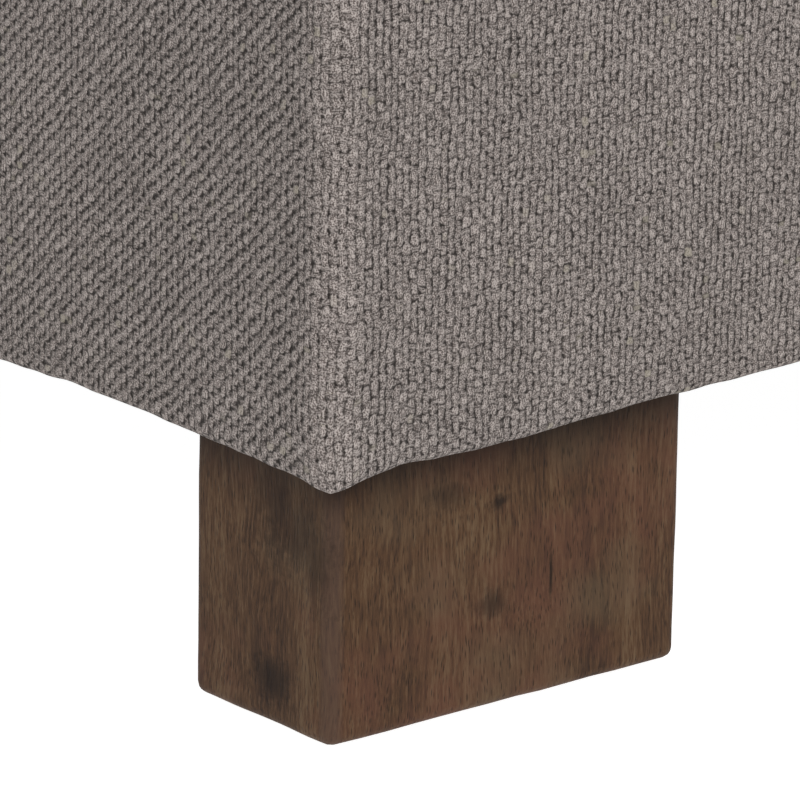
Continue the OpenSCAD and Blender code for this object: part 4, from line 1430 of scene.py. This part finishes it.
def along_path(path: np.ndarray, step: float, normal: Vector | None = None) -> list[tuple[Vector, Vector, Vector]]:
    """Spaces places evenly along a path.

    Args:
        path: the path's points.
        step: the distance between places.
        normal: the way the copies face, or None to face outwards from the path's middle in plan.

    Returns:
        For each place its point, the way it faces and the way along.
    """
    legs = np.linalg.norm(np.diff(path, axis=0), axis=1)
    run = np.concatenate([[0], np.cumsum(legs)])
    places = []
    for s in np.arange(step / 2, run[-1], step):
        point = Vector([float(np.interp(s, run, path[:, k])) for k in range(3)])
        ahead = Vector([float(np.interp(s + 1e-4, run, path[:, k])) for k in range(3)])
        along = (ahead - point).normalized()
        facing = normal if normal is not None else along.cross(Vector((0, 0, 1)))
        places.append((point, facing, along))
    return places


def box_path(half_w: float, half_d: float, z: float) -> np.ndarray:
    """Draws a closed oblong at one height, anticlockwise from above.

    Args:
        half_w: half its width.
        half_d: half its depth.
        z: its height.

    Returns:
        Its corners.
    """
    return np.array([(-half_w, -half_d, z), (half_w, -half_d, z), (half_w, half_d, z), (-half_w, half_d, z),
                     (-half_w, -half_d, z)])


# ---------------------------------------------------------------- the whole ottoman


@dataclass
class Finishes:
    """Every finish, by the name of its slot in the record."""

    slots: dict[str, bpy.types.Material] = field(default_factory=dict)

    def build(self) -> "Finishes":
        """Makes the materials.

        Returns:
            Itself.
        """
        self.slots = {
            "upholstery_fabric": WovenCloth().material(),
            "walnut_stained_wood": StainedWood().material(),
            "ply_flat": GrainedSheet("birch_plywood_flat", Axis.X, Axis.Z).material(),
            "ply_long": GrainedSheet("birch_plywood_long", Axis.X, Axis.Y).material(),
            "ply_side": GrainedSheet("birch_plywood_side", Axis.Y, Axis.X).material(),
            "softwood": GrainedSheet("pine", Axis.X, pale="#E0C08C", dark="#B98A52").material(),
            "softwood_y": GrainedSheet("pine_crosswise", Axis.Y, pale="#E0C08C", dark="#B98A52").material(),
            "foam": OpenFoam().material(),
            "thread": FibreSheet("polyester_thread", "#9D948D", "#6A615C", fibre=0.25 * MM).material(),
            "wadding": FibreSheet("polyester_wadding", "#F4F3EE", "#D8D6CE").material(),
            "lining_cloth": FibreSheet("fine_woven_lining", "#4A4643", "#2B2827", thread_pitch=0.5 * MM).material(),
            "dust_cloth": FibreSheet("spunbond_dust_cover", "#33312F", "#161514", bond_pitch=1.6 * MM).material(),
            "zinc_plated_steel": RolledMetal("zinc_plated_steel", "#C9CBCC", "#A9ABAB").material(),
            "stay_steel": RolledMetal("black_lacquered_steel", "#3A3B3D", "#232426", rough=0.42).material(),
            "damper_plastic": Moulded("damper_acetal", "#2E2F31", "#1C1D1F").material(),
            "glide_nylon": Moulded("glide_nylon", "#4A4A48", "#3A3A38").material(),
            "bumper_rubber": Moulded("bumper_rubber", "#262626", "#161616", rough=0.72).material()}
        return self

    def dress_frame(self, shown: Mapping[str, bpy.types.Object]) -> None:
        """Gives each node of the frame its finish.

        Args:
            shown: the frame's nodes.
        """
        by_name = {
            "bottom_board": "ply_flat", "lid_board": "ply_flat", "front_panel": "ply_long", "back_panel": "ply_long",
            "left_panel": "ply_side", "right_panel": "ply_side", "side_cleats": "softwood_y",
            "middle_rail": "softwood_y", "corner_blocks": "softwood", "corner_posts": "softwood",
            "long_cleats": "softwood", "seat_foam": "foam", "seat_wadding": "wadding",
            "foot_glides": "glide_nylon", "lid_bumpers": "bumper_rubber", "dust_cover": "dust_cloth",
            "body_cover": "upholstery_fabric", "lid_cover": "upholstery_fabric", "well_lining": "lining_cloth",
            "well_floor_lining": "lining_cloth", "lid_lining": "lining_cloth"}
        for name, node in shown.items():
            key = by_name.get(name)
            if key is None and name.startswith("foot_") and name.count("_") == 2 and "tee" not in name:
                key = "walnut_stained_wood"
            if key is None and name.endswith("_padding"):
                key = "foam"
            if key is None and name.startswith("stay_") and name.count("_") >= 2 and "screws" not in name:
                key = "damper_plastic" if name.endswith("hub") else "stay_steel"
            dress(node, self.slots[key or "zinc_plated_steel"])


@dataclass
class Base:
    """Everything on the box that Blender makes."""

    finishes: Finishes

    def build(self) -> None:
        """Builds the cover, the feet, the linings, the dust cover and the screws."""
        slots = self.finishes.slots
        cover = BoxUpholstery().build(slots["upholstery_fabric"])
        self._own(cover, "body_cover")
        LOG.info("%s: %d faces", cover.name, len(cover.data.polygons))
        for corner in ("front_left", "front_right", "back_left", "back_right"):
            self._own(BlockFoot("foot_" + corner).build(slots["walnut_stained_wood"]), "foot_" + corner)
        self._linings(slots)
        low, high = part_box("dust_cover")
        dust = ThinSheet("dust_cover_cloth", box_path(high.x, high.y, 0)[:4, :2].tolist(), low.z, high.z - low.z,
                         slack=0.0).build(slots["dust_cloth"])
        self._own(dust, "dust_cover")
        wire = bar_unit("staple_crown", 10 * MM, 1.0 * MM, 0.0)
        path = box_path(high.x - 8 * MM, high.y - 8 * MM, low.z - 0.2 * MM)
        places = [p for p in along_path(path, 38 * MM, Vector((0, 0, -1))) if not self._under_foot(p[0])]
        staples = Repeats("dust_cover_staples", places).build(wire, slots["zinc_plated_steel"])
        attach(staples, "base")
        Screws("hinge_box_screws", "base", "zinc_plated_steel", Axis.Z, lambda p: 1).build(slots)
        Screws("stay_box_screws", "base", "stay_steel", Axis.X, lambda p: -1 if p.x > 0 else 1).build(slots)

    def _own(self, piece: bpy.types.Object, node: str) -> None:
        """Ties a piece to the box and hides the node that it replaces.

        Args:
            piece: the piece.
            node: the node that it replaces.
        """
        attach(piece, "base")
        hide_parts(node)

    def _under_foot(self, spot: Vector) -> bool:
        """Says whether a place is covered by a foot.

        Args:
            spot: the place.

        Returns:
            True where a foot stands.
        """
        low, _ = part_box("foot_back_right")
        return abs(spot.x) > low.x - 8 * MM and abs(spot.y) > low.y - 8 * MM

    def _linings(self, slots: Mapping[str, bpy.types.Material]) -> None:
        """Lines the walls and the floor of the well.

        Args:
            slots: the finishes.
        """
        walls = WellLining()
        low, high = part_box("well_lining")
        standing = walls.build(slots["lining_cloth"])
        self._own(standing, "well_lining")
        low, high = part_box("well_floor_lining")
        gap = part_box("well_lining")[1].x - high.x
        floor = ThinSheet("well_floor_cloth", walls.plan(gap), low.z, high.z - low.z).build(slots["lining_cloth"])
        self._own(floor, "well_floor_lining")


@dataclass
class Lid:
    """Everything on the lid that Blender makes."""

    finishes: Finishes

    def build(self) -> None:
        """Builds the cushion, its stitches, the lining with its staples and the screws."""
        slots = self.finishes.slots
        cushion = LidUpholstery()
        cover = cushion.build(slots["upholstery_fabric"])
        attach(cover, "lid")
        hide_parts("lid_cover")
        LOG.info("%s: %d faces", cover.name, len(cover.data.polygons))
        thread = bar_unit("stitch", 4.6 * MM, 1.1 * MM, 0.25 * MM)
        seam = Repeats("lid_seam_stitches", along_path(cushion.seam_path(), 6.2 * MM)).build(thread, slots["thread"])
        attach(seam, "lid")
        low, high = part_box("lid_lining")
        lining = ThinSheet("lid_lining_cloth", box_path(high.x, high.y, 0)[:4, :2].tolist(), low.z, high.z - low.z,
                           slack=0.0).build(slots["lining_cloth"])
        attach(lining, "lid")
        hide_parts("lid_lining")
        wire = bar_unit("staple_crown", 10 * MM, 0.9 * MM, 0.0)
        path = box_path(high.x - 7 * MM, high.y - 7 * MM, low.z - 0.1 * MM)
        places = [p for p in along_path(path, 40 * MM, Vector((0, 0, -1))) if p[0].y < high.y - 8 * MM]
        staples = Repeats("lid_lining_staples", places).build(wire, slots["zinc_plated_steel"])
        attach(staples, "lid")
        Screws("hinge_lid_screws", "lid", "zinc_plated_steel", Axis.Z, lambda p: -1).build(slots)
        Screws("stay_lid_screws", "lid", "stay_steel", Axis.Z, lambda p: -1).build(slots)


def main() -> None:
    """Builds every piece in order."""
    logging.basicConfig(level=logging.INFO, format="%(message)s")
    Studio().build()
    finishes = Finishes().build()
    finishes.dress_frame(frame["nodes"])
    Base(finishes).build()
    Lid(finishes).build()


if __name__ == "__main__":
    main()
